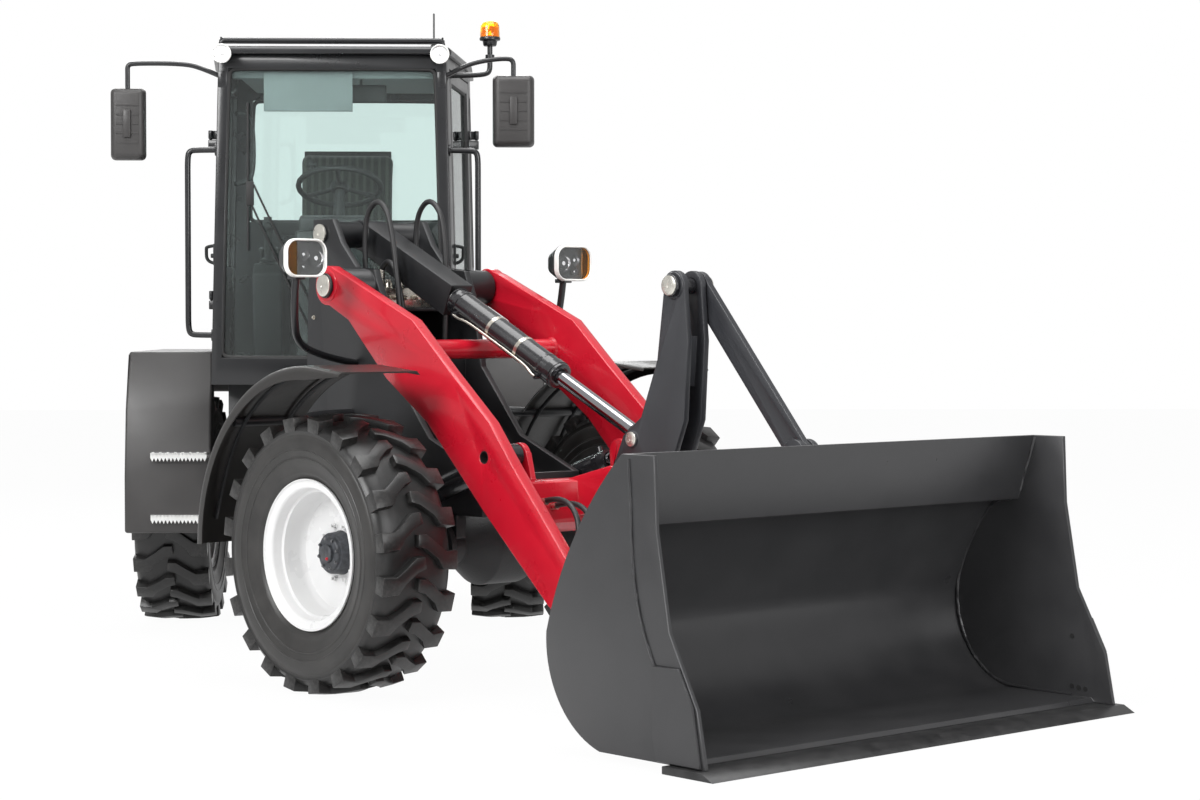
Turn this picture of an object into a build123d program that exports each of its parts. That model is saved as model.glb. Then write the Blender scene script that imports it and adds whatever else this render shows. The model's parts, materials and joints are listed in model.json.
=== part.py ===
from build123d import *
import os

os.makedirs("parts", exist_ok=True)

# Compact articulated wheel loader, in millimetres: +X forward along the rear half, +Y left, +Z up.
# Both halves are drawn about the articulation axis at floor level. The front half is drawn straight
# ahead and then turned with its wheels, boom and bucket, and at the end the whole machine is moved so
# that the middle of its footprint is the origin.

# ---- driving dimensions -------------------------------------------------------------------------
turned_left = 40            # angle between the halves as the machine stands
half_wheelbase = 1100
track = 1510

# clearances
gap = 6                     # between pieces that pass each other
pin_play = 0.05             # radial, between a pin and its bore
seat_play = 0.3             # between a tyre and its rim

# tyres and rims
tyre_width = 335
carcass_radius = 493
lug_height = 28
pitches = 20                # lugs on each side of a tyre
lug_length = 86             # along the circumference
bead_radius = 254
flange_radius = 282
rim_width = 280
rim_wall = 9
disc_wall = 14
hub_radius = 112
spindle_radius = 45
spindle_end = 45            # how far a spindle reaches into its hub

# pins of the loader linkage, as (x, z) in the front half
boom_pivot = (590, 1525)
bucket_pivot = (2400, 190)
link_top = (2180, 1512)
link_low = (2688, 920)
bellcrank_pivot = (bucket_pivot[0] + link_top[0] - link_low[0], bucket_pivot[1] + link_top[1] - link_low[1])
tilt_base = (300, 1740)
tilt_eye = (1963, 954)
lift_base = (380, 480)
lift_eye = (1560, 885)

# boom
arm_inner = 380             # |y| of an arm's inner face
arm_wall = 50
arm_outer = arm_inner + arm_wall
boom_pin_radius = 35
pivot_boss = 78

# bellcrank and link
crank_inner = 30
crank_wall = 25
crank_outer = crank_inner + crank_wall
crank_pin_radius = 30
link_wall = 25
link_inner = crank_outer + gap + 1
link_outer = link_inner + link_wall

# front frame
tower_inner = 215
tower_wall = 30
tower_outer = tower_inner + tower_wall

# cylinders
lift_y = 300
lift_barrel_radius = 46
lift_rod_radius = 27
lift_eye_width = 60
tilt_barrel_radius = 52
tilt_rod_radius = 28
tilt_eye_width = 2 * (crank_inner - gap + 1)
steer_base = (-680, 340)    # (x, y) in the rear half
steer_eye = (280, 360)      # (x, y) in the front half
steer_z = 600
steer_barrel_radius = 36
steer_rod_radius = 19
steer_eye_height = 40

# bucket
bucket_half = 1015
side_wall = 16
shell_wall = 12
edge_half = 1045
edge_thick = 25
edge_tip = 3393

# cab
cab_floor_z = 1109
cab_top_z = 2540
cab_wall = 45
glass_wall = 6
glass_inset = 15
door_rim = 52
door_front = -400
door_back = -1040
door_low = 1272
door_high = 2490
windscreen_low = 1226
windscreen_high = 2480
door_hinge = (-1037, 613)   # (x, |y|) of the upright hinge lines
hood_hinge_point = (-1538, 0, 1802)

# rear half
rail_inner = 200
rail_wall = 30
rear_end = -2420
fender_outer = 922

all_pieces = []             # (label, part, on the turned front half)


def keep(piece, label, on_front=False):
    all_pieces.append((label, piece, on_front))


# ---- forms used throughout -----------------------------------------------------------------------
# A plate or block with a side outline of (x, z) points, from y_low to y_high.
def side_plate(outline, y_low, y_high, mode=Mode.ADD):
    with BuildSketch(Plane.XZ.offset(-y_high)) as face:
        with BuildLine():
            Polyline(*outline, close=True)
        make_face()
    extrude(face.sketch, amount=y_high - y_low, mode=mode)


# A plate with a plan outline of (x, y) points, from z_low to z_high.
def level_plate(outline, z_low, z_high, mode=Mode.ADD):
    with BuildSketch(Plane.XY.offset(z_low)) as face:
        with BuildLine():
            Polyline(*outline, close=True)
        make_face()
    extrude(face.sketch, amount=z_high - z_low, mode=mode)


# A plate with a front outline of (y, z) points, from x_low to x_high.
def cross_plate(outline, x_low, x_high, mode=Mode.ADD):
    with BuildSketch(Plane.YZ.offset(x_low)) as face:
        with BuildLine():
            Polyline(*outline, close=True)
        make_face()
    extrude(face.sketch, amount=x_high - x_low, mode=mode)


# A pin, boss or bore along Y.
def cross_bar(centre, radius, y_low, y_high, mode=Mode.ADD):
    with BuildSketch(Plane.XZ.offset(-y_high)) as disc:
        with Locations(centre):
            Circle(radius)
    extrude(disc.sketch, amount=y_high - y_low, mode=mode)


# A pin, boss or bore along Z.
def upright(centre, radius, z_low, z_high, mode=Mode.ADD):
    with BuildSketch(Plane.XY.offset(z_low)) as disc:
        with Locations(centre):
            Circle(radius)
    extrude(disc.sketch, amount=z_high - z_low, mode=mode)


# A round bar from one point to another.
def rod(start, end, radius, mode=Mode.ADD):
    run = Vector(*end) - Vector(*start)
    with BuildSketch(Plane(origin=start, z_dir=run)) as disc:
        Circle(radius)
    extrude(disc.sketch, amount=run.length, mode=mode)


# A block given by its two far corners.
def block(x_low, x_high, y_low, y_high, z_low, z_high, mode=Mode.ADD):
    level_plate([(x_low, y_low), (x_high, y_low), (x_high, y_high), (x_low, y_high)], z_low, z_high, mode)


# A bent tube along points, with one bend radius.
def tube(points, radius, bend):
    with BuildLine() as path:
        FilletPolyline(*points, radius=bend)
    with BuildSketch(Plane(origin=path.line @ 0, z_dir=path.line % 0)) as ring:
        Circle(radius)
    sweep(ring.sketch, path=path.line)


# The two ranges of y that lie from inner to outer on the right and on the left.
def both_sides(inner, outer):
    return ((-outer, -inner), (inner, outer))


# ---- wheels ---------------------------------------------------------------------------------------
# A tyre about its own centre with its axle along Y: a carcass of flat facets, one to a lug pitch,
# with the lugs of the two sides in turn.
half_width = tyre_width / 2
bead_y = rim_width / 2 - 13
# (y, radius) of the carcass, from the outer bead to the inner one
carcass_rings = [
    (-bead_y, flange_radius + 3),
    (-half_width, 0.76 * carcass_radius),
    (-0.7 * half_width, carcass_radius),
    (0.7 * half_width, carcass_radius),
    (half_width, 0.76 * carcass_radius),
    (bead_y, flange_radius + 3),
]
lug_root = 0.9 * carcass_radius
# one lug as (distance from the middle of the tyre, distance along the circumference)
lug_outline = [
    (-0.05 * half_width, 0.05 * lug_length),
    (0.44 * half_width, -0.38 * lug_length),
    (0.985 * half_width, -0.44 * lug_length),
    (0.985 * half_width, 0.34 * lug_length),
    (0.02 * half_width, 0.52 * lug_length),
]

with BuildPart() as tyre_form:
    for ring_y, ring_radius in carcass_rings:
        with BuildSketch(Plane.XZ.offset(-ring_y)):
            RegularPolygon(ring_radius, pitches, major_radius=False, rotation=180 / pitches)
    loft(ruled=True)
    with BuildSketch(Plane.XZ.offset(-tyre_width)):
        RegularPolygon(bead_radius, pitches, major_radius=False, rotation=180 / pitches)
    extrude(amount=2 * tyre_width, mode=Mode.SUBTRACT)
    for lug in range(2 * pitches):
        outward = Vector(0, 0, 1).rotate(Axis.Y, 180 / pitches * lug)
        side = 1 if lug % 2 == 0 else -1
        with BuildSketch(Plane(origin=outward * lug_root, x_dir=(0, 1, 0), z_dir=outward)):
            with BuildLine():
                Polyline(*[(side * across, along) for across, along in lug_outline], close=True)
            make_face()
    extrude(amount=carcass_radius + lug_height - lug_root)
# the wheels stand on the corners of their lugs
axle_height = -tyre_form.part.bounding_box().min.Z

# A rim about its own centre, its outer face towards +Y: a stepped barrel, a dished disc and the hub.
half_rim = rim_width / 2
well_radius = bead_radius - 20
with BuildPart() as rim_form:
    with BuildSketch(Plane.YZ):
        with BuildLine():
            Polyline(
                (-half_rim, flange_radius),
                (-half_rim + 10, flange_radius),
                (-half_rim + 12, bead_radius - seat_play),
                (-half_rim + 60, bead_radius - seat_play - 3),
                (-half_rim + 75, well_radius),
                (half_rim - 95, well_radius),
                (half_rim - 60, bead_radius - seat_play - 3),
                (half_rim - 12, bead_radius - seat_play),
                (half_rim - 10, flange_radius),
                (half_rim, flange_radius),
                (half_rim - 2, bead_radius - 9),
                (half_rim - 56, bead_radius - 12),
                (half_rim - 95, well_radius - rim_wall),
                (-10, well_radius - rim_wall),
                (-16, hub_radius + 60),
                (-16, hub_radius - 30),
                (-16 - disc_wall, hub_radius - 30),
                (-16 - disc_wall, hub_radius + 62),
                (-30, well_radius - rim_wall),
                (-half_rim + 70, well_radius - rim_wall),
                (-half_rim + 56, bead_radius - 12),
                (-half_rim + 2, bead_radius - 9),
                close=True,
            )
        make_face()
    revolve(axis=Axis.Y)

hub_back = -100
with BuildPart() as hub_form:
    with BuildSketch(Plane.YZ):
        with BuildLine():
            Polyline(
                (hub_back, 0),
                (hub_back, hub_radius),
                (-16 - disc_wall, hub_radius),
                (-16 - disc_wall, hub_radius - 30),
                (-16, hub_radius - 30),
                (34, hub_radius - 34),
                (44, hub_radius - 48),
                (44, 40),
                (58, 34),
                (58, 0),
                close=True,
            )
        make_face()
    revolve(axis=Axis.Y)
    cross_bar((0, 0), spindle_radius + pin_play, hub_back, hub_back + spindle_end, Mode.SUBTRACT)

# (name, x, side, on the front half)
wheel_places = [
    ("front_right", half_wheelbase, -1, True),
    ("front_left", half_wheelbase, 1, True),
    ("rear_right", -half_wheelbase, -1, False),
    ("rear_left", -half_wheelbase, 1, False),
]
for place, wheel_x, side, on_front in wheel_places:
    centre = Location((wheel_x, side * track / 2, axle_height))
    outwards = centre if side > 0 else centre * Rotation(0, 0, 180)
    keep(tyre_form.part.moved(centre), f"tyre_{place}", on_front)
    keep(rim_form.part.moved(outwards), f"rim_{place}", on_front)
    keep(hub_form.part.moved(outwards), f"hub_{place}", on_front)

# ---- axles ----------------------------------------------------------------------------------------
spindle_root = track / 2 + hub_back - gap
axle_tube_radius = 78


def axle_form(axle_x):
    cross_bar((axle_x, axle_height), axle_tube_radius, -spindle_root, spindle_root)
    for y_low, y_high in both_sides(spindle_root - 95, spindle_root):
        cross_bar((axle_x, axle_height), hub_radius + 28, y_low, y_high)
    for y_low, y_high in both_sides(spindle_root, spindle_root + gap + spindle_end - 4):
        cross_bar((axle_x, axle_height), spindle_radius, y_low, y_high)
    with BuildSketch(Plane.XY.offset(axle_height)) as bulb:
        with BuildLine():
            Polyline(
                (axle_x, 230), (axle_x + 80, 200), (axle_x + 165, 90),
                (axle_x + 165, -90), (axle_x + 80, -200), (axle_x, -230), close=True,
            )
        make_face()
    revolve(bulb.sketch, axis=Axis((axle_x, 0, axle_height), (0, 1, 0)))


pad_top = 640
with BuildPart() as front_axle:
    axle_form(half_wheelbase)
    for y_low, y_high in both_sides(tower_inner - 10, tower_outer + 10):
        block(half_wheelbase - 85, half_wheelbase + 85, y_low, y_high, axle_height + 30, pad_top)
    rod((half_wheelbase - 150, 0, axle_height), (150, 0, axle_height), 38)
    rod((half_wheelbase - 150, 0, axle_height), (half_wheelbase - 260, 0, axle_height), 70)
keep(front_axle.part, "front_axle", True)

trunnion_gap = 250
with BuildPart() as rear_axle:
    axle_form(-half_wheelbase)
    rod((-half_wheelbase - trunnion_gap, 0, axle_height), (-half_wheelbase + trunnion_gap, 0, axle_height), 60)
keep(rear_axle.part, "rear_axle")

# ---- rear frame -----------------------------------------------------------------------------------
hinge_lug_radius = 78
hinge_pin_radius = 32
# (low, high) of the front half's two hinge lugs
hinge_lugs = [(367, 413), (797, 843)]
fork_wall = 30
rail_top = 900
with BuildPart() as rear_frame:
    for y_low, y_high in both_sides(rail_inner, rail_inner + rail_wall):
        side_plate(
            [(-620, 330), (-half_wheelbase + 240, 330), (-half_wheelbase + 140, 660), (-half_wheelbase - 140, 660),
             (-half_wheelbase - 230, 430), (-1700, 430), (-2300, 520), (-2300, rail_top), (-620, rail_top)],
            y_low, y_high,
        )
    for lug_low, lug_high in hinge_lugs:
        for z_low in (lug_low - gap - fork_wall, lug_high + gap):
            level_plate(
                [(-640, -rail_inner - rail_wall), (-640, rail_inner + rail_wall),
                 (-420, rail_inner), (0, hinge_lug_radius), (0, -hinge_lug_radius), (-420, -rail_inner)],
                z_low, z_low + fork_wall,
            )
            upright((0, 0), hinge_lug_radius, z_low, z_low + fork_wall)
        upright((0, 0), hinge_pin_radius, lug_low - gap - fork_wall - 14, lug_high + gap + fork_wall + 14)
    for y_low, y_high in both_sides(110, 135):
        block(-640, -150, y_low, y_high, hinge_lugs[0][1] + gap + fork_wall, hinge_lugs[1][0] - gap - fork_wall)
    # cross members before and behind the axle, with the trunnions that carry it
    for x_low, x_high in ((-half_wheelbase + 171, -half_wheelbase + 235), (-half_wheelbase - 240, -half_wheelbase - 171)):
        block(x_low, x_high, -rail_inner, rail_inner, 420, 640)
        rod((x_low, 0, axle_height), (x_high, 0, axle_height), 60 + pin_play, Mode.SUBTRACT)
    block(-2300, -2260, -rail_inner, rail_inner, 560, rail_top)
    # lugs of the steering cylinders, standing out of the rails
    for side in (-1, 1):
        for z_low in (steer_z - steer_eye_height / 2 - gap - 16, steer_z + steer_eye_height / 2 + gap):
            lug_y = sorted((side * rail_inner, side * steer_base[1]))
            block(-740, -690, lug_y[0], lug_y[1], z_low, z_low + 16)
            upright((steer_base[0], side * steer_base[1]), 38, z_low, z_low + 16)
        upright((steer_base[0], side * steer_base[1]), 20, steer_z - 60, steer_z + 60)
    # platform that carries the cab
    block(-1450, -380, -470, 470, rail_top, rail_top + 40)
    for x_low, x_high in ((-520, -440), (-1400, -1320)):
        block(x_low, x_high, -470, 470, rail_top + 40, cab_floor_z)
keep(rear_frame.part, "rear_frame")

with BuildPart() as driveline:
    rod((-half_wheelbase + trunnion_gap, 0, axle_height), (-130, 0, axle_height), 38)
    block(-half_wheelbase + trunnion_gap, -700, -100, 100, 440, 640)
keep(driveline.part, "driveline")

with BuildPart() as counterweight:
    with BuildSketch(Plane.XY.offset(470)):
        with BuildLine():
            FilletPolyline(
                (-1720, 560), (rear_end + 90, 560), (rear_end, 400), (rear_end, -400),
                (rear_end + 90, -560), (-1720, -560), (-1720, 560), radius=60, close=False,
            )
        make_face()
    extrude(amount=560)
    # room for the rails, the engine and the tow pin
    block(-2300, -1600, -rail_inner - rail_wall - 1, rail_inner + rail_wall + 1, 400, 1100, Mode.SUBTRACT)
    block(-2300, -1600, -300, 300, 880, 1100, Mode.SUBTRACT)
    block(rear_end - 10, rear_end + 80, -90, 90, 560, 640, Mode.SUBTRACT)
    upright((rear_end + 42, 0), 21, 400, 800, Mode.SUBTRACT)
keep(counterweight.part, "counterweight")

with BuildPart() as engine_block:
    block(-2180, -1560, -190, 190, 620, rail_top)
    block(-2180, -1560, -290, 290, rail_top, 1560)
    chamfer(engine_block.edges().filter_by(Axis.X).sort_by(Axis.Z)[-2:], 40)
keep(engine_block.part, "engine_block")

# ---- cab ------------------------------------------------------------------------------------------
# plan outlines (x, y) of the cab's left half at its floor and at its roof
cab_plan_low = [(-270, 526), (-1060, 605), (-1500, 605)]
cab_plan_high = [(-300, 492), (-1060, 575), (-1490, 575)]


# The tapering body of the cab, shrunk on every side by an inset, from z_low up.
def cab_body(inset, z_low=cab_floor_z):
    with BuildPart() as body:
        for z, plan in ((cab_floor_z, cab_plan_low), (cab_top_z, cab_plan_high)):
            with BuildSketch(Plane.XY.offset(z)):
                with BuildLine():
                    Polyline(*plan, *[(x, -y) for x, y in reversed(plan)], close=True)
                make_face()
                if inset:
                    offset(amount=-inset, kind=Kind.INTERSECTION, mode=Mode.REPLACE)
        loft(ruled=True)
        if z_low > cab_floor_z:
            block(-3000, 3000, -3000, 3000, cab_floor_z - 10, z_low, Mode.SUBTRACT)
        if inset:
            # open at the top, for the roof to close
            extrude(body.faces().sort_by(Axis.Z)[-1], amount=1)
    return body.part


cab_outer = cab_body(0)
cab_room = cab_body(cab_wall, cab_floor_z + 35)
panel_room = cab_body(cab_wall, cab_floor_z + 5)
glass_outer = cab_body(glass_inset)
glass_room = cab_body(glass_inset + glass_wall, cab_floor_z + 5)
door_outline = [(door_front, door_low), (door_back, door_low), (door_back, door_high), (door_front, door_high)]
quarter_outline = [(-1110, 1640), (-1440, 1640), (-1440, 2450), (-1110, 2450)]
rear_outline = [(-480, 1860), (480, 1860), (460, 2440), (-460, 2440)]
screen_outline = [(-480, windscreen_low), (480, windscreen_low), (448, windscreen_high), (-448, windscreen_high)]


# An (x, z) rectangle moved inwards on every side.
def inset_box(outline, inset):
    xs = [x for x, z in outline]
    zs = [z for x, z in outline]
    left, right, low, high = min(xs) + inset, max(xs) - inset, min(zs) + inset, max(zs) - inset
    return [(right, low), (left, low), (left, high), (right, high)]


knuckle_radius = 11
knuckle_height = 40
hinge_pin = 6
knuckle_heights = (1440, 2180)
hood_knuckle_y = 340


# Plan outline of a hinge leaf that reaches from the knuckle over the gap and into the panel,
# forwards (way 1) into a door or backwards (way -1) into the cab frame.
def hinge_leaf(way, side):
    hinge_x, hinge_y = door_hinge
    return [(hinge_x + way * x, side * y) for x, y in
            [(0, hinge_y - 8), (0, hinge_y + 8), (37, hinge_y + 8), (37, 560), (gap + 3, 560), (gap + 3, hinge_y - 8)]]


with BuildPart() as cab_frame:
    add(cab_outer)
    add(cab_room, mode=Mode.SUBTRACT)
    side_plate(door_outline, -800, 800, Mode.SUBTRACT)
    side_plate(quarter_outline, -800, 800, Mode.SUBTRACT)
    cross_plate(screen_outline, -420, -200, Mode.SUBTRACT)
    cross_plate(rear_outline, -1600, -1400, Mode.SUBTRACT)
    # hinges of the doors: a leaf and knuckle above each door's own, and the pin through both
    for side in (-1, 1):
        for knuckle_z in knuckle_heights:
            leaf_low = knuckle_z + knuckle_height + gap
            level_plate(hinge_leaf(-1, side), leaf_low, leaf_low + knuckle_height)
            upright((door_hinge[0], side * door_hinge[1]), knuckle_radius, leaf_low, leaf_low + knuckle_height)
            upright((door_hinge[0], side * door_hinge[1]), hinge_pin, knuckle_z, leaf_low + knuckle_height)
    # hinges of the hood: arms on the rear wall, and a pin from each through the hood's knuckle
    for y_low, y_high in both_sides(hood_knuckle_y + gap, hood_knuckle_y + gap + 14):
        side_plate([(-1480, 1788), (-1480, 1824), (-1538, 1812), (-1538, 1792)], y_low, y_high)
        cross_bar((hood_hinge_point[0], hood_hinge_point[2]), 10, y_low, y_high)
    for y_low, y_high in both_sides(hood_knuckle_y - knuckle_height, hood_knuckle_y + gap + 1):
        cross_bar((hood_hinge_point[0], hood_hinge_point[2]), hinge_pin, y_low, y_high)
    add(cab_room, mode=Mode.SUBTRACT)
keep(cab_frame.part, "cab_frame")

with BuildPart() as window_cutter:
    side_plate(quarter_outline, -800, 800)
    cross_plate(screen_outline, -420, -200)
    cross_plate(rear_outline, -1600, -1400)
with BuildPart() as cab_glass:
    add(glass_outer)
    add(glass_room, mode=Mode.SUBTRACT)
    add(window_cutter.part, mode=Mode.INTERSECT)
keep(cab_glass.part, "cab_glass")

for side, place in ((-1, "right"), (1, "left")):
    reach = sorted((side * 300, side * 800))
    with BuildPart() as door_cutter:
        side_plate(inset_box(door_outline, gap), reach[0], reach[1])
    with BuildPart() as pane_cutter:
        side_plate(inset_box(door_outline, gap + door_rim), reach[0], reach[1])
    with BuildPart() as door:
        add(cab_outer)
        add(panel_room, mode=Mode.SUBTRACT)
        add(door_cutter.part, mode=Mode.INTERSECT)
        add(pane_cutter.part, mode=Mode.SUBTRACT)
        for knuckle_z in knuckle_heights:
            level_plate(hinge_leaf(1, side), knuckle_z, knuckle_z + knuckle_height)
            upright((door_hinge[0], side * door_hinge[1]), knuckle_radius, knuckle_z, knuckle_z + knuckle_height)
            upright((door_hinge[0], side * door_hinge[1]), hinge_pin + pin_play, knuckle_z - 1,
                    knuckle_z + knuckle_height + 1, Mode.SUBTRACT)
    keep(door.part, f"door_{place}")
    with BuildPart() as door_glass:
        add(glass_outer)
        add(glass_room, mode=Mode.SUBTRACT)
        add(pane_cutter.part, mode=Mode.INTERSECT)
    keep(door_glass.part, f"door_{place}_glass")

roof_z = cab_top_z + 34
with BuildPart() as cab_roof:
    with BuildSketch(Plane.XY.offset(cab_top_z)):
        with BuildLine():
            FilletPolyline(
                (-262, 470), (-300, 515), (-1060, 592), (-1520, 592), (-1520, -592),
                (-1060, -592), (-300, -515), (-262, -470), (-262, 470), radius=20,
            )
        make_face()
    extrude(amount=roof_z - cab_top_z)
    chamfer(cab_roof.faces().sort_by(Axis.Z)[-1].edges(), 12)
    # rail along the front of the roof
    tube([(-290, -478, roof_z - 5), (-290, -478, 2600), (-290, 478, 2600), (-290, 478, roof_z - 5)], 11, 16)
    upright((-400, 437), 4, roof_z - 5, 2732)
keep(cab_roof.part, "cab_roof")

with BuildPart() as seat_base:
    block(-1290, -900, -190, 190, cab_floor_z + 35, 1430)
    chamfer(seat_base.edges().filter_by(Axis.Z), 30)
    block(-1340, -1290, -90, 90, 1400, 1640)
keep(seat_base.part, "seat_base")

with BuildPart() as seat_cushions:
    block(-1275, -800, -240, 240, 1430, 1560)
    fillet(seat_cushions.edges().filter_by(Axis.Z), 60)
    with BuildSketch(Plane.XZ.offset(-240)) as back_side:
        with BuildLine():
            Polyline((-1280, 1565), (-1160, 1565), (-1250, 2205), (-1330, 2214), close=True)
        make_face()
    extrude(back_side.sketch, amount=480)
keep(seat_cushions.part, "seat_cushions")

wheel_centre = (-750, 0, 1985)
column_foot = (-560, 0, 1560)
with BuildPart() as steering_column:
    rod(column_foot, wheel_centre, 26)
    tilt = Vector(*wheel_centre) - Vector(*column_foot)
    with BuildSketch(Plane(origin=wheel_centre, z_dir=tilt)) as spokes:
        Circle(32)
        Rectangle(356, 26)
        Rectangle(26, 356)
    extrude(spokes.sketch, amount=14)
    with Locations(Plane(origin=Vector(*wheel_centre) + tilt.normalized() * 7, z_dir=tilt)):
        Torus(185, 14)
keep(steering_column.part, "steering_column")

with BuildPart() as control_console:
    side_plate(
        [(-330, cab_floor_z + 35), (-640, cab_floor_z + 35), (-620, 1500), (-500, 1600), (-490, 1780),
         (-330, 1780)],
        -165, 165,
    )
    side_plate([(-1240, cab_floor_z + 35), (-860, cab_floor_z + 35), (-800, 1600), (-860, 1650), (-1240, 1620)],
               -400, -270)
    rod((-900, -335, 1640), (-870, -335, 1800), 14)
    with Locations((-866, -335, 1815)):
        Sphere(28)
keep(control_console.part, "control_console")

# ---- outside the cab --------------------------------------------------------------------------------
arch_radius = 600
with BuildPart() as rear_fenders:
    for side in (-1, 1):
        y_low, y_high = sorted((side * 545, side * fender_outer))
        side_plate(
            [(-395, 455), (-395, 700), (-440, 1000), (-560, 1250), (-1640, 1250), (-1740, 1180),
             (-1790, 1040), (-1770, 1040), (-1730, 1165), (-1635, 1225), (-1200, 1225), (-560, 1225),
             (-560, 455)],
            y_low, y_high,
        )
    cross_bar((-half_wheelbase, axle_height), arch_radius, -1000, 1000, Mode.SUBTRACT)
    for side in (-1, 1):
        y_low, y_high = sorted((side * 520, side * 800))
        for step_z in (803, 530):
            block(-430, -380, y_low, y_high, step_z - 25, step_z)
    add(cab_outer, mode=Mode.SUBTRACT)
keep(rear_fenders.part, "rear_fenders")

with BuildPart() as hood:
    hood_outline = [(-1540, 1020), (-1540, 1800), (-1950, 1790), (rear_end + 60, 1650), (rear_end + 20, 1060),
                    (rear_end + 20, 1035), (-1700, 1035)]
    side_plate(hood_outline, -500, 500)
    chamfer(hood.edges().filter_by(Axis.X).sort_by(Axis.Z)[-2:], 60)
    hood_inside = [(-1500, 1000), (-1500, 1772), (-1950, 1762), (rear_end + 90, 1628), (rear_end + 50, 1000)]
    side_plate(hood_inside, -472, 472, Mode.SUBTRACT)
    cross_plate([(-330, 1120), (330, 1120), (330, 1560), (-330, 1560)], rear_end - 20, rear_end + 200,
                Mode.SUBTRACT)
    # its hinge: notches for the arms on the cab, and a knuckle beside each
    hinge_line = (hood_hinge_point[0], hood_hinge_point[2])
    for y_low, y_high in both_sides(hood_knuckle_y, hood_knuckle_y + 2 * gap + 14):
        block(-1562, -1530, y_low, y_high, 1765, 1810, Mode.SUBTRACT)
    for y_low, y_high in both_sides(hood_knuckle_y - knuckle_height, hood_knuckle_y):
        cross_bar(hinge_line, knuckle_radius, y_low, y_high)
        cross_bar(hinge_line, hinge_pin + pin_play, y_low - 1, y_high + 1, Mode.SUBTRACT)
keep(hood.part, "hood")

with BuildPart() as hood_grille:
    for bar_z in range(1130, 1550, 42):
        block(rear_end + 45, rear_end + 70, -330, 330, bar_z, bar_z + 16)
    for bar_y in (-318, -110, 98, 306):
        block(rear_end + 50, rear_end + 66, bar_y, bar_y + 12, 1120, 1560)
keep(hood_grille.part, "hood_grille")

with BuildPart() as mirrors:
    tube([(-320, -470, 2440), (-310, -580, 2490), (-300, -883, 2500), (-300, -883, 2380)], 11, 30)
    tube([(-320, 470, 2440), (-310, 600, 2500), (-300, 785, 2530), (-300, 785, 2440)], 11, 30)
    # (centre y, centre z, width)
    for mirror_y, mirror_z, mirror_width in ((-883, 2238, 160), (785, 2298, 190)):
        block(-345, -275, mirror_y - mirror_width / 2, mirror_y + mirror_width / 2, mirror_z - 160, mirror_z + 160)
    fillet(mirrors.edges().filter_by(Axis.X).group_by(SortBy.LENGTH)[-1], 25)
    add(cab_outer, mode=Mode.SUBTRACT)
keep(mirrors.part, "mirrors")

with BuildPart() as grab_rails:
    for side in (-1, 1):
        tube([(-330, side * 500, 1325), (-330, side * 630, 1325), (-330, side * 630, 2129),
              (-330, side * 480, 2129)], 13, 40)
    add(cab_outer, mode=Mode.SUBTRACT)
keep(grab_rails.part, "grab_rails")

with BuildPart() as lamps:
    for side in (-1, 1):
        rod((-258, side * 468, 2535), (-205, side * 468, 2535), 42)
    upright((-500, 681), 47, 2627, 2712)
    upright((-500, 681), 12, 2540, 2627)
    for side in (-1, 1):
        y_low, y_high = sorted((side * 290, side * 390))
        block(rear_end - 22, rear_end, y_low, y_high, 880, 970)
keep(lamps.part, "lamps")

# ---- front frame ------------------------------------------------------------------------------------
with BuildPart() as front_frame:
    for y_low, y_high in both_sides(tower_inner, tower_outer):
        side_plate(
            [(180, 360), (760, 360), (860, pad_top), (1330, pad_top), (1330, 800), (1000, 930), (760, 1200),
             (700, 1480), (650, 1590), (530, 1600), (430, 1700), (370, 1800), (240, 1800), (200, 1500),
             (180, 900)],
            y_low, y_high,
        )
    for lug_low, lug_high in hinge_lugs:
        level_plate(
            [(0, hinge_lug_radius), (180, tower_inner), (420, tower_inner), (420, -tower_inner),
             (180, -tower_inner), (0, -hinge_lug_radius)],
            lug_low, lug_high,
        )
        upright((0, 0), hinge_lug_radius, lug_low, lug_high)
    upright((0, 0), hinge_pin_radius + pin_play, 300, 900, Mode.SUBTRACT)
    # closing plates of the tower and the shelf under the valves
    block(200, 225, -tower_inner, tower_inner, 900, 1440)
    block(225, 560, -tower_inner, tower_inner, 1425, 1440)
    block(640, 660, -tower_inner, tower_inner, 1120, 1300)
    block(1300, 1330, -tower_inner, tower_inner, pad_top, 800)
    # pivots of the boom
    for y_low, y_high in both_sides(tower_outer, arm_inner - gap):
        cross_bar(boom_pivot, 70, y_low, y_high)
    for y_low, y_high in both_sides(arm_inner - gap, arm_outer + gap):
        cross_bar(boom_pivot, boom_pin_radius, y_low, y_high)
    for y_low, y_high in both_sides(arm_outer + gap, arm_outer + gap + 10):
        cross_bar(boom_pivot, boom_pin_radius + 14, y_low, y_high)
    # pivot of the tilt cylinder
    for y_low, y_high in both_sides(60 + gap, tower_inner):
        cross_bar(tilt_base, 55, y_low, y_high)
    cross_bar(tilt_base, 32, -tower_outer - 12, tower_outer + 12)
    # pivots of the lift cylinders
    for y_low, y_high in both_sides(tower_outer, lift_y - lift_eye_width / 2 - 4):
        cross_bar(lift_base, 36, y_low, y_high)
    for y_low, y_high in both_sides(tower_outer, lift_y + lift_eye_width / 2 + 4):
        cross_bar(lift_base, 28, y_low, y_high)
    for y_low, y_high in both_sides(lift_y + lift_eye_width / 2 + 4, lift_y + lift_eye_width / 2 + 14):
        cross_bar(lift_base, 36, y_low, y_high)
    # ears of the steering cylinders
    for side in (-1, 1):
        for z_low in (steer_z - steer_eye_height / 2 - gap - 16, steer_z + steer_eye_height / 2 + gap):
            level_plate(
                [(200, side * tower_outer), (370, side * tower_outer), (315, side * 380), (250, side * 390)],
                z_low, z_low + 16,
            )
            upright((steer_eye[0], side * steer_eye[1]), 42, z_low, z_low + 16)
keep(front_frame.part, "front_frame", True)

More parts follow.
